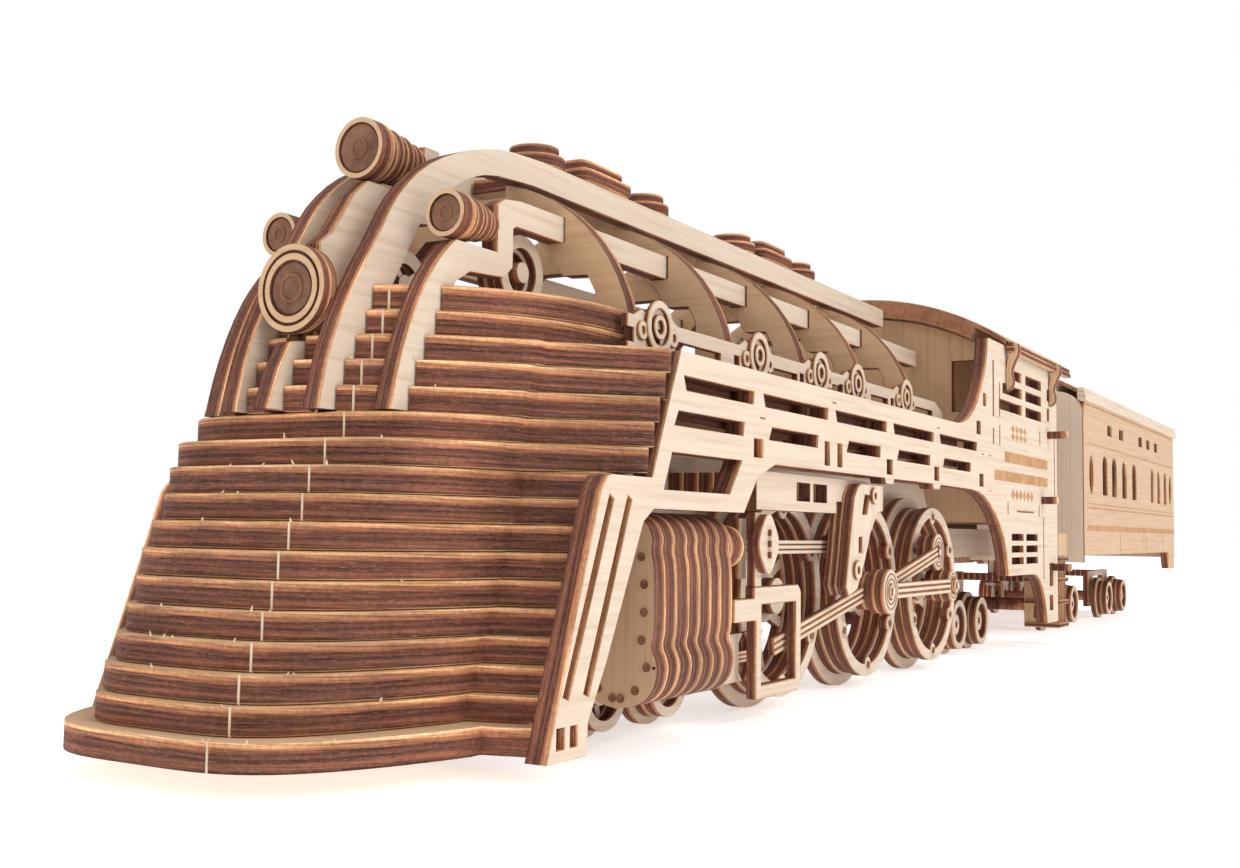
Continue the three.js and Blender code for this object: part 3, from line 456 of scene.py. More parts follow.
def half_outline(n, seam):
    """One side of a layer, from the front of its centre line round to the rear of it."""
    widest = CROWN_X if n >= CROWN_FIRST else step_x(n)
    notches = [(SEAM_X - SEAM_W, SEAM_X + SEAM_W, None)] if seam else []
    if n >= FIRST_SLOTTED:
        half_width = SHEET / 2 + GAP
        notches += [(x - half_width, x + half_width, rib_rear(x, n) + GAP) for x in (RAIL_X, BRACKET_X)]
    notches.sort()
    half = []
    if n >= FIRST_SLOTTED:
        slot_end = rib_rear(0.0, n) + GAP
        half += [(0.0, slot_end), (SHEET / 2 + GAP, slot_end), (SHEET / 2 + GAP, front_y(n, SHEET / 2))]
    for i in range(OUTLINE_STEPS + 1):
        share = i / OUTLINE_STEPS
        x = widest * (math.sin(math.pi / 2 * share) if n >= CROWN_FIRST else share)
        while notches and x >= notches[0][0]:
            x0, x1, back = notches.pop(0)
            deep = back if back is not None else front_y(n, x0) + 0.22
            half += [(x0, front_y(n, x0)), (x0, deep), (x1, deep), (x1, front_y(n, x1))]
        if not half or x > half[-1][0] + 0.02:
            half.append((x, front_y(n, x)))
    xs, ys = half[-1]
    rear = layer_rear(n)
    if n <= WINGED_LAYERS:
        wing_y = ys + WING_STEP + WING_SLOPE * (PANEL_INNER_X - xs)
        half += [(xs, ys + WING_STEP), (PANEL_INNER_X, wing_y), (PANEL_INNER_X, rear)]
    elif n < CROWN_FIRST:
        edge = 9.2 + (n - 11) * 0.43 - 0.3
        tip = SIDE_X - 0.05
        half += [(xs, ys + WING_STEP), (tip, edge - 0.2), (tip, edge), (PANEL_INNER_X, edge),
                 (PANEL_INNER_X, rear)]
    else:
        half.append((CROWN_X, rear))
    if n > 1:
        depth = SEAM_Y[n - 1] + 1.6 + 0.07 * (n - 2)
        half += [(4.9, rear), (4.9, depth + 3.2), (2.8, depth + 0.7), (0, depth)]
    else:
        half.append((0, rear))
    return half


def layer_outline(n):
    left = [(-x, y) for x, y in half_outline(n, False)[1:-1]]
    return half_outline(n, True) + left[::-1]


def nose_layer(n, replaces):
    layer = Piece(f"nose_layer_{n:02d}", "locomotive", "edge_ply")
    low = n - 1 + (GAP / 3 if n > 1 else 0)
    layer.sheet(layer_outline(n), low, n, "z")
    layer.done([TAN_AND_SHADE_VENEER["x"], BURNT_EDGE_AND_SHADE, GLOW], replaces)
    seams = Piece(f"nose_joint_{n:02d}", "locomotive")
    y = front_y(n, SEAM_X)
    seams.box(SEAM_X - SEAM_W + 0.01, SEAM_X + SEAM_W - 0.01, y - 0.015, y + 0.2, low, n - 0.02, axis="y",
              face=FACE, edge=FACE)
    seams.done([PALE], chamfer=0)


STACKS = {1: "bumper_layer", 2: "nose_stack_lower", 8: "nose_stack_middle", 13: "nose_stack_upper"}
for n in range(1, 18):
    nose_layer(n, [STACKS[n]] if n in STACKS else [])


# ---- Lamps -------------------------------------------------------------------------------------------
def lamp(name, x, z, r, y0, y1, rings, discs):
    """A front of rings, given as shares of r, on a recessed plug, and discs that narrow to the rear."""
    piece = Piece(name, "locomotive", "edge_ply")
    front = 0.42 if discs < 3 else 0.8
    outer = r
    for inner in (share * r for share in rings):
        piece.disc(x, z, outer, y0, y0 + front, "y", hole=inner)
        outer = inner - 0.07 * r
    piece.disc(x, z, r * 0.97, y0 + 0.16, y0 + front - 0.02, "y", face=DARK, edge=DARK)
    piece.disc(x, z, outer, y0 + 0.07, y0 + 0.3, "y", face=DARK, edge=DARK)
    piece.disc(x, z, 0.34 * r, y0 + 0.02, y0 + 0.2, "y", hole=0.27 * r, face=MARK, edge=MARK)
    pitch = (y1 - y0 - front) / discs
    for i in range(discs):
        near = 0.93 - 0.26 * (i / max(1, discs - 1)) ** 1.6 if discs > 2 else 0.98
        low = y0 + front + i * pitch
        piece.disc(x, z, r * near * (1 if i % 2 else 0.955), low, low + pitch - 0.02, "y")
    # The lamp fronts' tan veneer is painted shade.
    piece.done([TAN_AND_SHADE_VENEER["x"], BURNT_EDGE_AND_SHADE, GLOW, SCORCHED_FACE, INK], [name])


lamp("headlight", 0, 16.78, 1.68, 1.35, 2.19, (0.86, 0.64), 2)
lamp("top_lamp", 0, 23.06, 1.24, 4.89, 8.3, (0.84,), 7)
for name, side in SIDES:
    lamp(f"side_lamp_{name}", side * BRACKET_X, 19.97, 0.93, 5.02, 7.8, (0.8,), 6)


# ---- Cylinders: wavy stacked plates with a riveted front ---------------------------------------------
CYL_X = 9.55
CYL_Y = 9.75
CYL_PITCH = 0.98
CYL_PLATES = 7
RIVETS = 18
# Half of a plate's outline, as (distance from the middle, Z), from the top down.
CYL_PROFILE = [(0.0, 8.6), (0.7, 8.5), (1.25, 8.15), (1.5, 7.6), (1.42, 7.1), (1.58, 6.5), (1.6, 5.2),
               (1.6, 3.9), (1.45, 3.4), (1.72, 2.9), (1.76, 2.4), (1.55, 1.7), (1.0, 1.2), (0.0, 1.0)]


def smoothed(points, times=2):
    """Cuts the corners of an open outline, which keeps its two ends."""
    for _ in range(times):
        cut = [points[0]]
        for (ax, ay), (bx, by) in zip(points, points[1:]):
            cut += [(near * ax + (1 - near) * bx, near * ay + (1 - near) * by) for near in (0.75, 0.25)]
        points = cut + [points[-1]]
    return points


def along(points, count):
    """Evenly spaced points along a closed outline."""
    loop = points + points[:1]
    spans = [math.dist(a, b) for a, b in zip(loop, loop[1:])]
    total, found = sum(spans), []
    for i in range(count):
        target = total * (i + 0.5) / count
        for a, b, span in zip(loop, loop[1:], spans):
            if target <= span:
                found.append((a[0] + (b[0] - a[0]) * target / span, a[1] + (b[1] - a[1]) * target / span))
                break
            target -= span
    return found


def cylinder_outline(grow, side):
    right = smoothed(CYL_PROFILE)
    width = [(x + grow if x > 0 else 0, z) for x, z in right]
    points = [(CYL_X + x, z) for x, z in width] + [(CYL_X - x, z) for x, z in width[1:-1]][::-1]
    return [(side * x, z) for x, z in points]


def cylinder(name, side):
    body = Piece(f"cylinder_{name}_plates", "locomotive", "edge_ply")
    for i in range(CYL_PLATES):
        low = CYL_Y + i * CYL_PITCH
        body.sheet(cylinder_outline(-0.04 if i % 2 else 0.0, side), low, low + CYL_PITCH - 0.03, "y")
    rear = CYL_Y + CYL_PLATES * CYL_PITCH
    for x, z, r, long in ((CYL_X, 2.55, 1.2, 0.5), (CYL_X, 7.2, 1.05, 2.5)):
        body.disc(side * x, z, r, rear, rear + long * 0.45, "y")
        body.disc(side * x, z, r * 0.9, rear + long * 0.45, rear + long, "y")
    # The plates' tan front faces are painted shade.
    body.done([TAN_AND_SHADE_VENEER["z"], BURNT_EDGE_AND_SHADE, GLOW], [f"cylinder_{name}"])
    rivets = Piece(f"cylinder_{name}_rivets", "locomotive", "edge_ply")
    inset = cylinder_outline(-0.42, side)
    inset = [(x, 4.8 + (z - 4.8) * 0.905) for x, z in inset]
    for x, z in along(inset, RIVETS):
        rivets.disc(x, z, 0.17, CYL_Y - 0.05, CYL_Y + 0.02, "y", hole=0.1, steps=16, face=FACE, edge=FACE)
        rivets.disc(x, z, 0.06, CYL_Y - 0.03, CYL_Y + 0.02, "y", steps=8, face=FACE, edge=FACE)
    rivets.done([INK], chamfer=0)
    seam = Piece(f"cylinder_{name}_joint", "locomotive")
    seam.box(11.1, 11.24, CYL_Y, CYL_Y + 6.8, 2.6, 2.7, side, face=FACE, edge=FACE)
    seam.done([PALE], chamfer=0)


for name, side in SIDES:
    cylinder(name, side)


# ---- Wheels ------------------------------------------------------------------------------------------
def spoke(angle, inner, outer, width):
    along_it = Vector((math.cos(angle), math.sin(angle)))
    across = Vector((-math.sin(angle), math.cos(angle)))
    return [tuple(along_it * r + across * w) for r, w in
            ((inner, -width), (outer, -width * 0.7), (outer, width * 0.7), (inner, width))]


def driving_wheelset(index, y):
    body = f"driving_axle_{index}"
    piece = Piece(f"driving_wheels_{index}", body, "edge_ply")
    for _, side in SIDES:
        piece.disc(y, DRIVER_Z, 5.6, 6.6, 7.2, side=side, hole=4.1, steps=96)
        for i in range(8):
            shape = [(y + u, DRIVER_Z + v) for u, v in spoke(math.pi * (i + 0.5) / 4, 1.0, 4.25, 0.36)]
            piece.sheet(shape, 6.7, 7.1, side=side)
        for x0, x1, r, hole in ((7.22, 7.78, 4.95, 4.25), (7.8, 8.34, 4.85, 4.2), (8.36, 8.9, 4.95, 4.3)):
            piece.disc(y, DRIVER_Z, r, x0, x1, side=side, hole=hole, steps=96)
        piece.disc(y, DRIVER_Z, 1.35, 6.62, 7.9, side=side)
        piece.disc(y, DRIVER_Z, 0.9, 7.9, 8.6, side=side)
        piece.box(8.6, 8.8, y - 0.22, y + 0.22, DRIVER_Z - 0.22, DRIVER_Z + 0.22, side)
        for i in range(6):
            a = math.pi * (i / 3 + 1 / 6)
            u, v = y + 4.32 * math.cos(a), DRIVER_Z + 4.32 * math.sin(a)
            piece.disc(u, v, 0.46, 8.38, 8.9, side=side, steps=24)
            piece.disc(u, v, 0.2, 8.88, 8.97, side=side, steps=16, face=DARK, edge=DARK)
        if index > 1:
            piece.disc(y - CRANK, DRIVER_Z, 0.95, 7.0, 8.95, side=side)
            web = [(y - CRANK, DRIVER_Z - 0.8), (y, DRIVER_Z - 1.2), (y, DRIVER_Z + 1.2),
                   (y - CRANK, DRIVER_Z + 0.8)]
            piece.sheet(web, 7.2, 7.9, side=side)
            piece.disc(y - CRANK, DRIVER_Z, 0.4, 8.95, 11.2, side=side, steps=24)
            piece.box(11.2, 11.3, y - CRANK - 0.2, y - CRANK + 0.2, DRIVER_Z - 0.2, DRIVER_Z + 0.2, side)
    piece.disc(y, DRIVER_Z, 0.6, -6.6, 6.6, steps=24)
    piece.done([*FLAT, INK], [f"driving_wheelset_{index}"])


def small_wheelset(name, body, y):
    piece = Piece(name.replace("wheelset", "wheels"), body, "edge_ply")
    for _, side in SIDES:
        piece.disc(y, SMALL_Z, 2.2, 5.4, 5.95, side=side, steps=64)
        piece.disc(y, SMALL_Z, 1.85, 5.97, 6.45, side=side, hole=1.3, steps=64)
        piece.disc(y, SMALL_Z, 1.8, 6.47, 7.0, side=side, hole=1.35, steps=64)
        piece.disc(y, SMALL_Z, 0.75, 5.97, 6.75, side=side, steps=32)
        piece.box(6.75, 6.9, y - 0.2, y + 0.2, SMALL_Z - 0.2, SMALL_Z + 0.2, side)
        for i in range(5):
            shape = [(y + u, SMALL_Z + v) for u, v in spoke(math.tau * i / 5, 0.6, 1.4, 0.2)]
            piece.sheet(shape, 6.0, 6.4, side=side)
    piece.disc(y, SMALL_Z, 0.4, -5.4, 5.4, steps=20)
    piece.done(FLAT, [name])


for i, y in enumerate(DRIVER_Y, 1):
    driving_wheelset(i, y)
for name, body in [(n, b) for b, nodes in frame["record"]["behaviour"]["bodies"].items() for n in nodes
                   if "wheelset" in n and not n.startswith("driving")]:
    low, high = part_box(name)
    small_wheelset(name, body, (low.y + high.y) / 2 / PLY + MID_Y)


# ---- Rods --------------------------------------------------------------------------------------------
def fluted(piece, a, b, low, high, width, side, start=0.0, end=0.0):
    """A bar between two points, with raised rails that leave dark flutes along its outer face."""
    a, b = Vector(a), Vector(b)
    direction = (b - a).normalized()
    across = Vector((-direction.y, direction.x))
    a, b = a + direction * start, b - direction * end

    def strip(centre, half, x0, x1, face=FACE):
        mid = across * centre
        wide = across * half
        corners = [tuple(p) for p in (a + mid - wide, b + mid - wide, b + mid + wide, a + mid + wide)]
        piece.sheet(corners, x0, x1, side=side, face=face)

    strip(0, width / 2, low, high - 0.06, face=DARK)
    rail = width / 8
    for k in (-1, 0, 1):
        strip(k * (width / 2 - rail), rail, high - 0.07, high)


def ringed_boss(piece, u, v, r, low, high, side, pin=True):
    """A drum of stacked discs with a cream face, two engraved rings and a square pin."""
    count = max(1, round((high - low) / 0.5))
    pitch = (high - low) / count
    for i in range(count):
        piece.disc(u, v, r * (1 if i == count - 1 else 0.98), low + i * pitch, low + (i + 1) * pitch - 0.02,
                   side=side, hole=0.46)
    for radius in (0.78, 0.56):
        piece.disc(u, v, r * radius + 0.03, high, high + 0.015, side=side, hole=r * radius - 0.03,
                   face=DARK, edge=DARK)
    if pin:
        piece.box(high - 0.05, high + 0.09, u - 0.19, u + 0.19, v - 0.19, v + 0.19, side)


RODS = [*FLAT, INK]
CROSSHEAD = (22.6, 2.15)
UPPER_BOSS = (48.0, 6.8)


def main_rod(name, side):
    rod = Piece(f"main_rod_{name}_fluted", f"main_rod_{name}")
    fluted(rod, (CROSSHEAD[0], CROSSHEAD[1] + 0.07), (PIN_Y[0], DRIVER_Z), 9.55, 9.9, 0.8, side, 1.3, 0.9)
    ringed_boss(rod, PIN_Y[0], DRIVER_Z, 1.05, 9.2, 9.88, side, pin=False)
    rod.done(RODS, [f"main_rod_{name}"])


def coupling_rod(name, side):
    rod = Piece(f"coupling_rod_{name}_fluted", f"coupling_rod_{name}")
    fluted(rod, (PIN_Y[0], DRIVER_Z), (PIN_Y[1], DRIVER_Z), 10.5, 11.05, 0.85, side, 1.0, 0.8)
    fluted(rod, (PIN_Y[0], DRIVER_Z), UPPER_BOSS, 10.1, 10.49, 0.8, side, 0.7, 0.4)
    ringed_boss(rod, PIN_Y[0], DRIVER_Z, 1.25, 10.05, 11.13, side)
    ringed_boss(rod, PIN_Y[1], DRIVER_Z, 1.0, 9.35, 11.0, side)
    ringed_boss(rod, *UPPER_BOSS, 1.15, 9.35, 10.4, side)
    rod.done(RODS, [f"coupling_rod_{name}"])


def valve_rod(name, side):
    rod = Piece(f"valve_rod_{name}_fluted", f"valve_rod_{name}")
    fluted(rod, (17.2, VALVE_ROD_Z), (31.6, VALVE_ROD_Z), 9.2, 9.7, 0.65, side)
    rod.sheet([(20.25, 5.75), (20.95, 5.75), (20.95, 8.5), (20.25, 8.5)], 9.1, 9.75, side=side)
    rod.disc(31.9, VALVE_ROD_Z, 0.6, 9.15, 9.78, side=side, steps=32)
    rod.done(RODS, [f"valve_rod_{name}"])


def crosshead(name, side):
    slider = Piece(f"crosshead_{name}_slider", f"crosshead_{name}")
    for y in (19.3, 21.6):
        bow_tie = [(0.0, 1.05), (2.0, 1.05), (1.6, 1.5), (1.6, 2.8), (2.0, 3.25), (0.0, 3.25), (0.4, 2.8),
                   (0.4, 1.5)]
        slider.sheet([(y + u, z) for u, z in bow_tie], 9.05, 9.45, side=side)
    fluted(slider, (11.6, 2.15), (22.1, 2.15), 9.06, 9.44, 0.5, side)
    slider.done(RODS, [f"crosshead_{name}"])


LINK_OUTLINE = [(31.3, 10.3), (31.8, 10.5), (35.1, 10.5), (35.1, 9.1), (34.2, 9.0), (33.2, 8.0),
                (32.4, 6.6), (31.2, 5.0), (30.0, 4.7), (29.6, 5.2), (30.0, 6.6), (30.4, 8.4), (30.8, 9.8)]


def expansion_link(name, side):
    """The link's inner layers and small discs, on the CAD model's outer layer."""
    layers = Piece(f"expansion_link_{name}_layers", f"expansion_link_{name}")
    for low, high in ((10.03, 10.37), (10.39, 10.72)):
        layers.sheet(LINK_OUTLINE, low, high, side=side)
    layers.disc(30.9, 6.0, 0.5, 11.32, 11.5, side=side, hole=0.2, steps=24)
    layers.disc(33.4, 9.9, 0.45, 11.32, 11.5, side=side, hole=0.18, steps=24)
    layers.done([VENEER["z"], BURNT_EDGE_AND_SHADE, GLOW])


for name, side in SIDES:
    main_rod(name, side)
    coupling_rod(name, side)
    valve_rod(name, side)
    crosshead(name, side)
for name, side in SIDES:
    expansion_link(name, side)


# ---- Domes and hatches along the boiler top ----------------------------------------------------------
DOME_PITCH = 0.5
HATCH_PITCH = 0.55


def boiler_top():
    """A deck board with round domes and rounded oblong hatches, each a stack of layers."""
    top = Piece("boiler_top_domes", "locomotive", "edge_ply")
    top.box(-1.5, 1.5, 14.6, 50.5, 23.45, BOILER_DECK_Z, axis="z")
    for y, r in ((17.4, 1.5), (28.0, 1.45), (39.2, 1.5), (49.0, 1.45)):
        for i, share in enumerate((1.0, 0.95, 1.0, 0.8)):
            low = BOILER_DECK_Z + i * DOME_PITCH
            top.disc(0, y, r * share, low, low + DOME_PITCH - 0.02, "z")
    for y0, y1 in ((19.9, 24.8), (41.2, 46.0)):
        for i, inset in enumerate((0.0, 0.15, 0.05, 0.4)):
            front, back, wide = y0 + inset, y1 - inset, 1.45 - inset
            outline = smoothed([(0, front), (wide - 0.15, front), (wide, front + 0.7), (wide, back - 0.7),
                                (wide - 0.15, back), (0, back)])
            outline += [(-x, y) for x, y in outline[1:-1]][::-1]
            low = BOILER_DECK_Z + i * HATCH_PITCH
            top.sheet(outline, low, low + HATCH_PITCH - 0.02, "z")
    top.done([TAN_AND_SHADE_VENEER["y"], BURNT_EDGE_AND_SHADE, GLOW], ["roof_hatches"])


boiler_top()


# ---- Roofs: curved planks side by side ---------------------------------------------------------------
def planked_roof(cad_node, body, slot, radius, top_z, thick, half_width, ends, count, face):
    """An arched roof of planks that run along the train, with a dark joint between neighbours and painted
    light on their ends.
    """
    piece = Piece(f"{cad_node}_planks", body, slot)
    centre = top_z - radius
    limit = math.degrees(math.asin(half_width / radius))
    joint = 0.07
    for i in range(count):
        a0 = 90 + limit - 2 * limit * i / count - joint
        a1 = 90 + limit - 2 * limit * (i + 1) / count + joint
        # The outermost planks are thinner, so that they clear the side sheets' top edges.
        inner = radius - (thick if 0 < i < count - 1 else 0.35)
        outline = arc(0, centre, radius, radius, a0, a1, 6) + arc(0, centre, inner, inner, a1, a0, 6)
        piece.sheet(outline, *ends, "y")
    # The plank ends take the plank-end material, painted lighter to lift their shade.
    piece.done([PAINTED_LIGHT_PLANK_END, face, GLOW], [cad_node])


# ---- CAD nodes that keep their shape, with a plywood material of their own ---------------------------
def dress(name, axis, low, thick, grain, light=CREAM):
    obj = frame["nodes"][name]
    corner = {"x": (low, 0, 0), "y": (0, low, 0), "z": (0, 0, low)}[axis]
    made = sheet_material(f"{name}_plywood", axis, at(*corner)[AXES[axis]], thick * PLY, grain, light)
    obj.data.materials.clear()
    obj.data.materials.append(made)
    weld = obj.modifiers.new("weld", "WELD")
    weld.merge_threshold = 1e-6
    bevel(obj, CHAMFER)


for name, side in SIDES:
    dress(f"side_panel_{name}", "x", side * (SIDE_X - PANEL_T), side * PANEL_T, "y")
    dress(f"coach_side_{name}", "x", side * (SIDE_X - PANEL_T), side * PANEL_T, "y", COACH_TAN)
    for rib, x in (("inner", RAIL_X), ("outer", BRACKET_X)):
        dress(f"rib_{rib}_{name}", "x", side * x - SHEET / 2, SHEET, "y")
    dress(f"ornament_strip_{name}", "x", side * STRIP_X, side * 0.35, "y")
    dress(f"crosshead_guide_{name}", "x", side * 10.05, side * 0.5, "y")
    dress(f"expansion_link_{name}", "x", side * 10.75, side * 0.55, "z")
dress("rib_centre", "x", -SHEET / 2, SHEET, "y")
# The bulkheads' and cab walls' front faces get the tan veneer, which is painted shade.
for i, y in enumerate(BULKHEAD_Y, 1):
    dress(f"bulkhead_{i}", "y", y - SHEET / 2, SHEET, "x", TAN_AND_SHADE)
for end, y in CAB_WALL_Y.items():
    dress(f"cab_{end}_wall", "y", y, SHEET, "z", TAN_AND_SHADE)
dress("chassis_frame", "x", 5.2, 0.8, "y")
for name in ("pilot_truck_frame", "trailing_truck_frame", "bogie_frame_1", "bogie_frame_2"):
    dress(name, "x", 4.4, 0.6, "y")
dress("coach_floor_and_ends", "y", 86.9, 0.8, "z")
planked_roof("cab_roof", "locomotive", "edge_ply", 20.2, 25.45, 1.2, 11.8, CAB_ROOF_Y, 9, TAN_AND_SHADE_VENEER["y"])
planked_roof("coach_roof", "coach", "shaded_ply", 21.5, 23.9, 1.0, 11.45, COACH_ROOF_Y, 11, VENEER["y"])


# ---- Engraving, pegs, brackets and other trim --------------------------------------------------------
LIFT = 0.025


def inlay(piece, y0, z0, y1, z1, side):
    """A patch that stands LIFT above a side sheet's face."""
    piece.box(SIDE_X - 0.05, SIDE_X + LIFT, y0, y1, z0, z1, side, face=FACE, edge=FACE)


def diamond_inlay(piece, y, z, wide, high, side):
    outline = [(y - wide, z), (y, z - high), (y + wide, z), (y, z + high)]
    piece.sheet(outline, SIDE_X - 0.05, SIDE_X + LIFT, side=side, face=FACE, edge=FACE)


def cab_engraving(name, side):
    marks = Piece(f"cab_engraving_{name}", "locomotive")
    inlay(marks, 60.3, 13.1, 73.0, 13.85, side)
    inlay(marks, 57.6, 11.75, 73.0, 12.45, side)
    for i in range(4):
        for row in (15.05, 15.6):
            diamond_inlay(marks, 62.6 + i * 1.15, row, 0.5, 0.27, side)
    for i in range(6):
        diamond_inlay(marks, 62.5 + i * 1.1, 10.85, 0.48, 0.38, side)
    marks.done([ENGRAVED], chamfer=0)


def cab_scored_lines(name, side):
    lines = Piece(f"cab_scored_lines_{name}", "locomotive")
    inlay(lines, 63.6, 9.62, 68.6, 9.74, side)
    for y in (61.0, 70.2):
        inlay(lines, y, 9.4, y + 0.14, 10.3, side)
    for y, z0, z1 in ((58.9, 14.2, 15.6), (58.9, 16.2, 18.6), (70.6, 14.9, 16.0), (71.6, 4.6, 9.4),
                      (75.4, 10.6, 16.4)):
        inlay(lines, y, z0, y + 0.14, z1, side)
    for y, z in ((9.9, 12.9), (18.9, 12.9), (27.5, 14.35), (44.6, 14.35), (54.4, 13.3), (56.2, 13.3),
                 (56.2, 10.9)):
        inlay(lines, y, z, y + 0.5, z + 0.06, side)
    lines.done([INK], chamfer=0)


def cab_pegs(name, side):
    pegs = Piece(f"cab_pegs_{name}", "locomotive", "edge_ply")
    for y, z, reach in ((73.1, 15.6, 1.5), (71.0, 10.4, 1.2), (74.6, 5.2, 1.4)):
        pegs.box(SIDE_X + 0.02, SIDE_X + reach, y, y + 0.55, z, z + 0.55, side, face=EDGE)
    pegs.done(FLAT)


def cab_roof_brackets(name, side):
    brackets = Piece(f"cab_roof_brackets_{name}", "locomotive", "shaded_ply")
    curve = smoothed([(11.4, 18.2), (11.75, 18.35), (11.9, 18.9), (11.7, 19.5), (11.95, 20.2), (12.3, 20.9),
                      (12.2, 21.5)])
    back = smoothed([(11.75, 21.6), (11.75, 20.9), (11.4, 20.2), (11.4, 18.2)], 1)
    for y in (60.6, 73.6):
        brackets.sheet(curve + back[:-1], y, y + 0.75, "y", side)
    # The brackets' tan front faces are painted shade.
    brackets.done([TAN_AND_SHADE_VENEER["z"], BURNT_EDGE_AND_SHADE, GLOW])


def cab_roof_eaves(name, side):
    eaves = Piece(f"cab_roof_eaves_{name}", "locomotive", "edge_ply")
    for x, z in ((12.0, 20.96), (11.92, 21.32)):
        eaves.box(11.5, x, *CAB_ROOF_Y, z, z + 0.33, side, "z")
    eaves.done([TAN_AND_SHADE_VENEER["y"], BURNT_EDGE_AND_SHADE, GLOW], chamfer=0)


def valve_gland(name, side):
    gland = Piece(f"valve_gland_{name}", "locomotive")
    lobes = []
    for i in range(72):
        a = math.tau * i / 72
        swell = 1 + 0.07 * math.cos(4 * a)
        lobes.append((20.75 + 0.98 * swell * math.cos(a), 7.35 + 1.25 * swell * math.sin(a)))
    gland.sheet(lobes, 10.58, 11.0, side=side)
    for z in (6.85, 7.35, 7.85):
        gland.box(11.0, 11.22, 20.55, 20.95, z - 0.14, z + 0.14, side)
    gland.done(FLAT)


def boiler_gear(name, side):
    gear = Piece(f"boiler_gear_{name}", "locomotive", "edge_ply")
    y, z = 11.1, 18.72
    for i, (r, hole) in enumerate(((1.6, 0.95), (1.5, 0.9), (1.6, 1.05))):
        gear.disc(y, z, r, 2.58 + i * 0.42, 2.97 + i * 0.42, side=side, hole=hole)
    gear.disc(y, z, 0.45, 2.55, 3.85, side=side, steps=24)
    for i in range(4):
        arm = [(y + u, z + v) for u, v in spoke(math.pi * (i + 0.4) / 2, 0.35, 1.1, 0.16)]
        gear.sheet(arm, 2.62, 2.9, side=side)
    gear.done(FLAT)


def coach_scored_bands(name, side):
    belt = Piece(f"coach_scored_bands_{name}", "coach")
    for z0, z1 in ((8.45, 8.95), (10.45, 10.58), (10.85, 10.93), (16.2, 16.3), (19.6, 19.7)):
        inlay(belt, COACH_BAND_Y[0], z0, COACH_BAND_Y[1], z1, side)
    for y in (103.2, 116.5, 118.1, 129.0):
        inlay(belt, y, 6.4, y + 0.12, 8.2, side)
    belt.done([ENGRAVED], chamfer=0)


def footplate_steps(name, side):
    steps = Piece(f"footplate_steps_{name}", "locomotive", "shaded_ply")
    for y in (77.4, 79.6):
        steps.sheet(rect(8.4, 0.5, 11.1, 5.9), y, y + 0.7, "y", side,
                    holes=[rect(9.2, z, 10.3, z + 0.9) for z in (1.3, 3.0, 4.6)])
    for z in (0.55, 2.4, 4.2, 5.9):
        steps.box(8.5, 11.3, 77.2, 80.5, z, z + 0.35, side, "z")
    steps.box(10.4, 11.2, 77.3, 80.4, 6.3, 8.2, side)
    # A cheek against the side panel's inner face carries the steps.
    steps.box(9.95, 10.43, 74.6, 77.45, 3.0, 6.2, side)
    steps.done([TAN_AND_SHADE_VENEER["z"], BURNT_EDGE_AND_SHADE, GLOW])


def strip_scrolls(name, side):
    """Round scrolls on the ornamental strips."""
    scrolls = Piece(f"strip_scrolls_{name}", "locomotive")
    for y in STRIP_HUMPS_Y:
        scrolls.disc(y, 16.45, 1.15, 8.77, 8.97, side=side, hole=0.78)
        scrolls.disc(y, 16.45, 0.55, 8.77, 8.97, side=side, hole=0.28)
        for lean in (-1.35, 1.35):
            scrolls.disc(y + lean, 16.15, 0.42, 8.77, 8.9, side=side, hole=0.16, steps=24)
    scrolls.done(FLAT)


def panel_shelves(name, side):
    """The shelves behind the side panels' slots."""
    shelves = Piece(f"panel_shelves_{name}", "locomotive", "edge_ply")
    for z in (12.35, 13.75):
        for y0, y1 in ((13.0, 25.0), (27.6, 35.2), (36.4, 44.2), (45.2, 53.0)):
            shelves.box(8.85, 10.1, y0, y1, z, z + 0.7, side, "z")
    for y in (18.9, 27.0, 35.8, 44.6):
        shelves.box(8.9, 10.3, y, y + 0.7, 11.2, 15.0, side, face=EDGE)
    shelves.done([TAN_AND_SHADE_VENEER["y"], BURNT_EDGE_AND_SHADE, GLOW])


def coach_roof_edge(name, side):
    planks = Piece(f"coach_roof_edge_{name}", "coach")
    for x, z in ((11.72, 19.86), (11.66, 20.23), (11.55, 20.6)):
        planks.box(11.0, x, 86.0, COACH_ROOF_Y[1], z, z + 0.34, side, "z", edge=FACE)
    planks.done([VENEER["y"], BURNT_EDGE_AND_SHADE, GLOW], chamfer=0)


def coach_vestibule():
    """The coach's front plate, a little proud of its sides, with rounded top corners."""
    vestibule = Piece("coach_vestibule_plate", "coach", "shaded_ply")
    wall = [(0, 5.7), (11.45, 5.7), (11.45, 18.6), *arc(9.45, 18.6, 2.0, 2.0, 8, 82, 8), (5, 21.6),
            (0, 22.2)]
    wall += [(-x, z) for x, z in wall[1:-1]][::-1]
    vestibule.sheet(wall, 85.75, 86.3, "y", holes=[rect(-2.2, 8.2, 2.2, 18.5)])
    for x in (-8.2, 8.2):
        vestibule.box(x - 0.25, x + 0.25, 85.4, 85.72, 6.6, 18.0, axis="y")
    vestibule.done([VENEER["z"], BURNT_EDGE_AND_SHADE, GLOW])


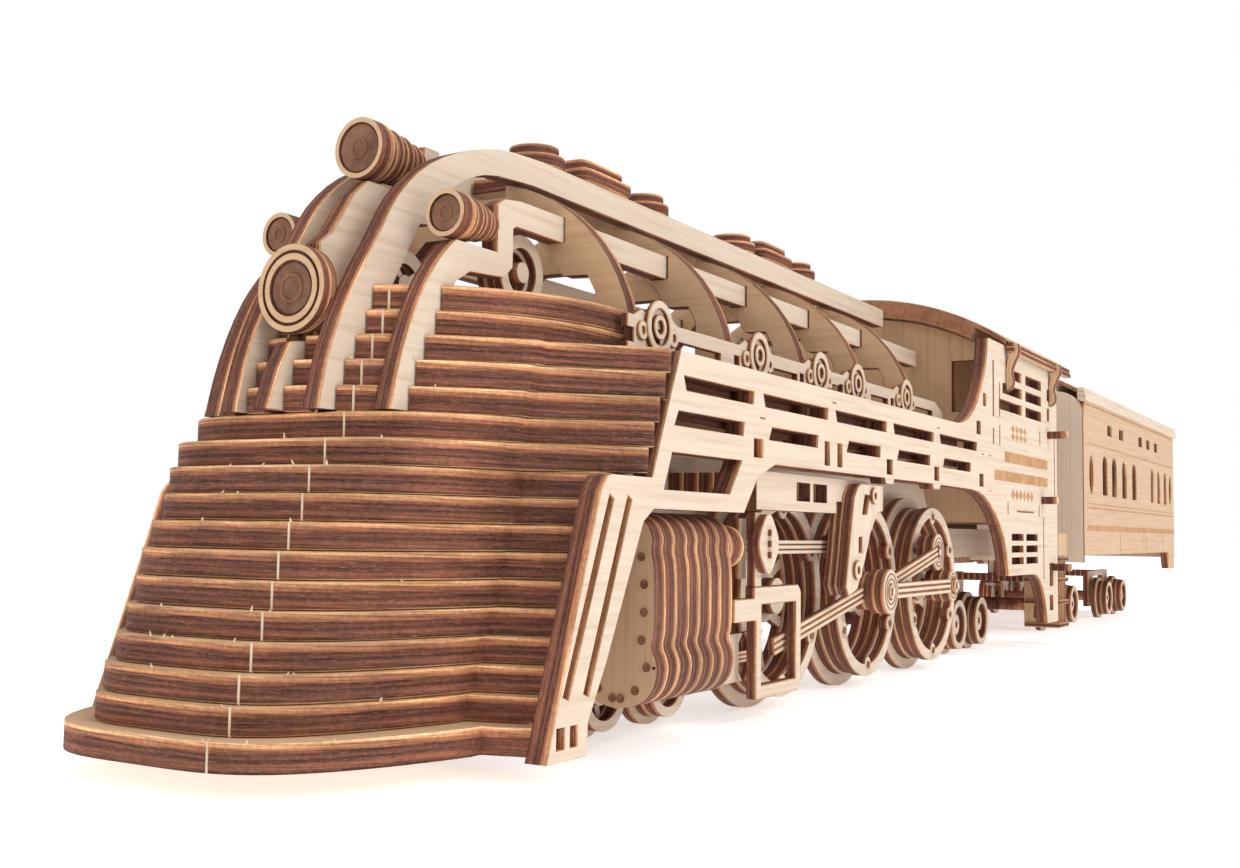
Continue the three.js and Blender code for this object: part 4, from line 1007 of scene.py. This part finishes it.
def nose_splinters():
    """Pale splinters that the cutter left along the layers' top edges."""
    rng = random.Random(7)
    splinters = Piece("nose_splinters", "locomotive")
    for _ in range(34):
        n = rng.randint(1, 15)
        x = rng.uniform(-1.5, 6.5)
        y = front_y(n, x) - 0.01
        tall = rng.uniform(0.05, 0.20)
        lean = rng.uniform(-0.12, 0.12)
        base = [(x - 0.035, n - 0.01), (x + 0.035, n - 0.01), (x + lean, n + tall)]
        splinters.sheet(base, y, y + 0.05, "y", edge=FACE)
    splinters.done([PALE], chamfer=0)


OUTER_TRIM = (cab_engraving, cab_scored_lines, cab_pegs, cab_roof_brackets, cab_roof_eaves, valve_gland,
              boiler_gear, coach_scored_bands, footplate_steps)
INNER_TRIM = (strip_scrolls, panel_shelves, coach_roof_edge)
for trim in (OUTER_TRIM, INNER_TRIM):
    for name, side in SIDES:
        for build in trim:
            build(name, side)
coach_vestibule()
nose_splinters()


# ---- Studio ------------------------------------------------------------------------------------------
def look_along(obj, direction):
    obj.rotation_mode = "QUATERNION"
    obj.rotation_quaternion = Vector(direction).to_track_quat("-Z", "Y")


def softbox(name, place, target, size, power, colour):
    data = bpy.data.lights.new(name, "AREA")
    data.shape = "DISK"
    data.size = size
    data.energy = power
    data.color = colour
    lamp_object = bpy.data.objects.new(name, data)
    bpy.context.scene.collection.objects.link(lamp_object)
    lamp_object.location = place
    look_along(lamp_object, Vector(target) - Vector(place))


YAW, PITCH, ROLL = 0.5318, 0.0717, 0.0144
CAMERA_PLACE = (0.14516, -0.4081, 0.03492)
LENS = 39.28
FLOOR_REACH = 6


def add_camera():
    forward = Vector((-math.sin(YAW) * math.cos(PITCH), math.cos(YAW) * math.cos(PITCH), math.sin(PITCH)))
    across = Vector((math.cos(YAW), math.sin(YAW), 0))
    upward = across.cross(forward)
    right = across * math.cos(ROLL) + upward * math.sin(ROLL)
    true_up = upward * math.cos(ROLL) - across * math.sin(ROLL)
    camera = bpy.data.objects.new("camera", bpy.data.cameras.new("camera"))
    bpy.context.scene.collection.objects.link(camera)
    camera.data.sensor_width = 36
    camera.data.lens = LENS
    camera.data.clip_start = 0.01
    camera.data.clip_end = 50
    turn = Matrix((right, true_up, -forward)).transposed().to_4x4()
    camera.matrix_world = Matrix.Translation(CAMERA_PLACE) @ turn
    bpy.context.scene.camera = camera


def add_floor():
    """White paper that gives off a little light of its own."""
    mesh = bpy.data.meshes.new("floor")
    corners = rect(-FLOOR_REACH, -FLOOR_REACH, FLOOR_REACH, FLOOR_REACH)
    mesh.from_pydata([(x, y, 0) for x, y in corners], [], [(0, 1, 2, 3)])
    floor = bpy.data.objects.new("floor", mesh)
    bpy.context.scene.collection.objects.link(floor)
    paper = bpy.data.materials.new("pale_paper")
    paper.use_nodes = True
    inputs = paper.node_tree.nodes["Principled BSDF"].inputs
    inputs["Base Color"].default_value = (0.93, 0.925, 0.92, 1)
    inputs["Roughness"].default_value = 0.9
    inputs["Emission Color"].default_value = (1, 1, 1, 1)
    inputs["Emission Strength"].default_value = 0.55
    mesh.materials.append(paper)


def add_world():
    """A white surround: dim as a light on the object, full white behind it."""
    world = bpy.data.worlds.new("studio")
    bpy.context.scene.world = world
    world.use_nodes = True
    tree = world.node_tree
    ambient = tree.nodes["Background"]
    ambient.inputs["Color"].default_value = (1, 1, 1, 1)
    ambient.inputs["Strength"].default_value = 0.5
    backdrop = node(tree, "ShaderNodeBackground", Strength=1.0)
    backdrop.inputs["Color"].default_value = (1, 1, 1, 1)
    path = tree.nodes.new("ShaderNodeLightPath")
    chosen = tree.nodes.new("ShaderNodeMixShader")
    tree.links.new(path.outputs["Is Camera Ray"], chosen.inputs[0])
    tree.links.new(ambient.outputs[0], chosen.inputs[1])
    tree.links.new(backdrop.outputs[0], chosen.inputs[2])
    tree.links.new(chosen.outputs[0], tree.nodes["World Output"].inputs["Surface"])


add_camera()
add_floor()
softbox("key", (1.5, -0.35, 1.0), (0, -0.05, 0.05), 1.1, 13, (1, 0.985, 0.96))
softbox("fill", (-0.6, -1.6, 0.9), (0, -0.1, 0.06), 1.4, 7, (1, 0.95, 0.9))
softbox("top", (0.2, 0.3, 1.9), (0, 0.1, 0.05), 1.6, 16, (1, 1, 1))
add_world()
bpy.context.scene.view_settings.view_transform = "Standard"
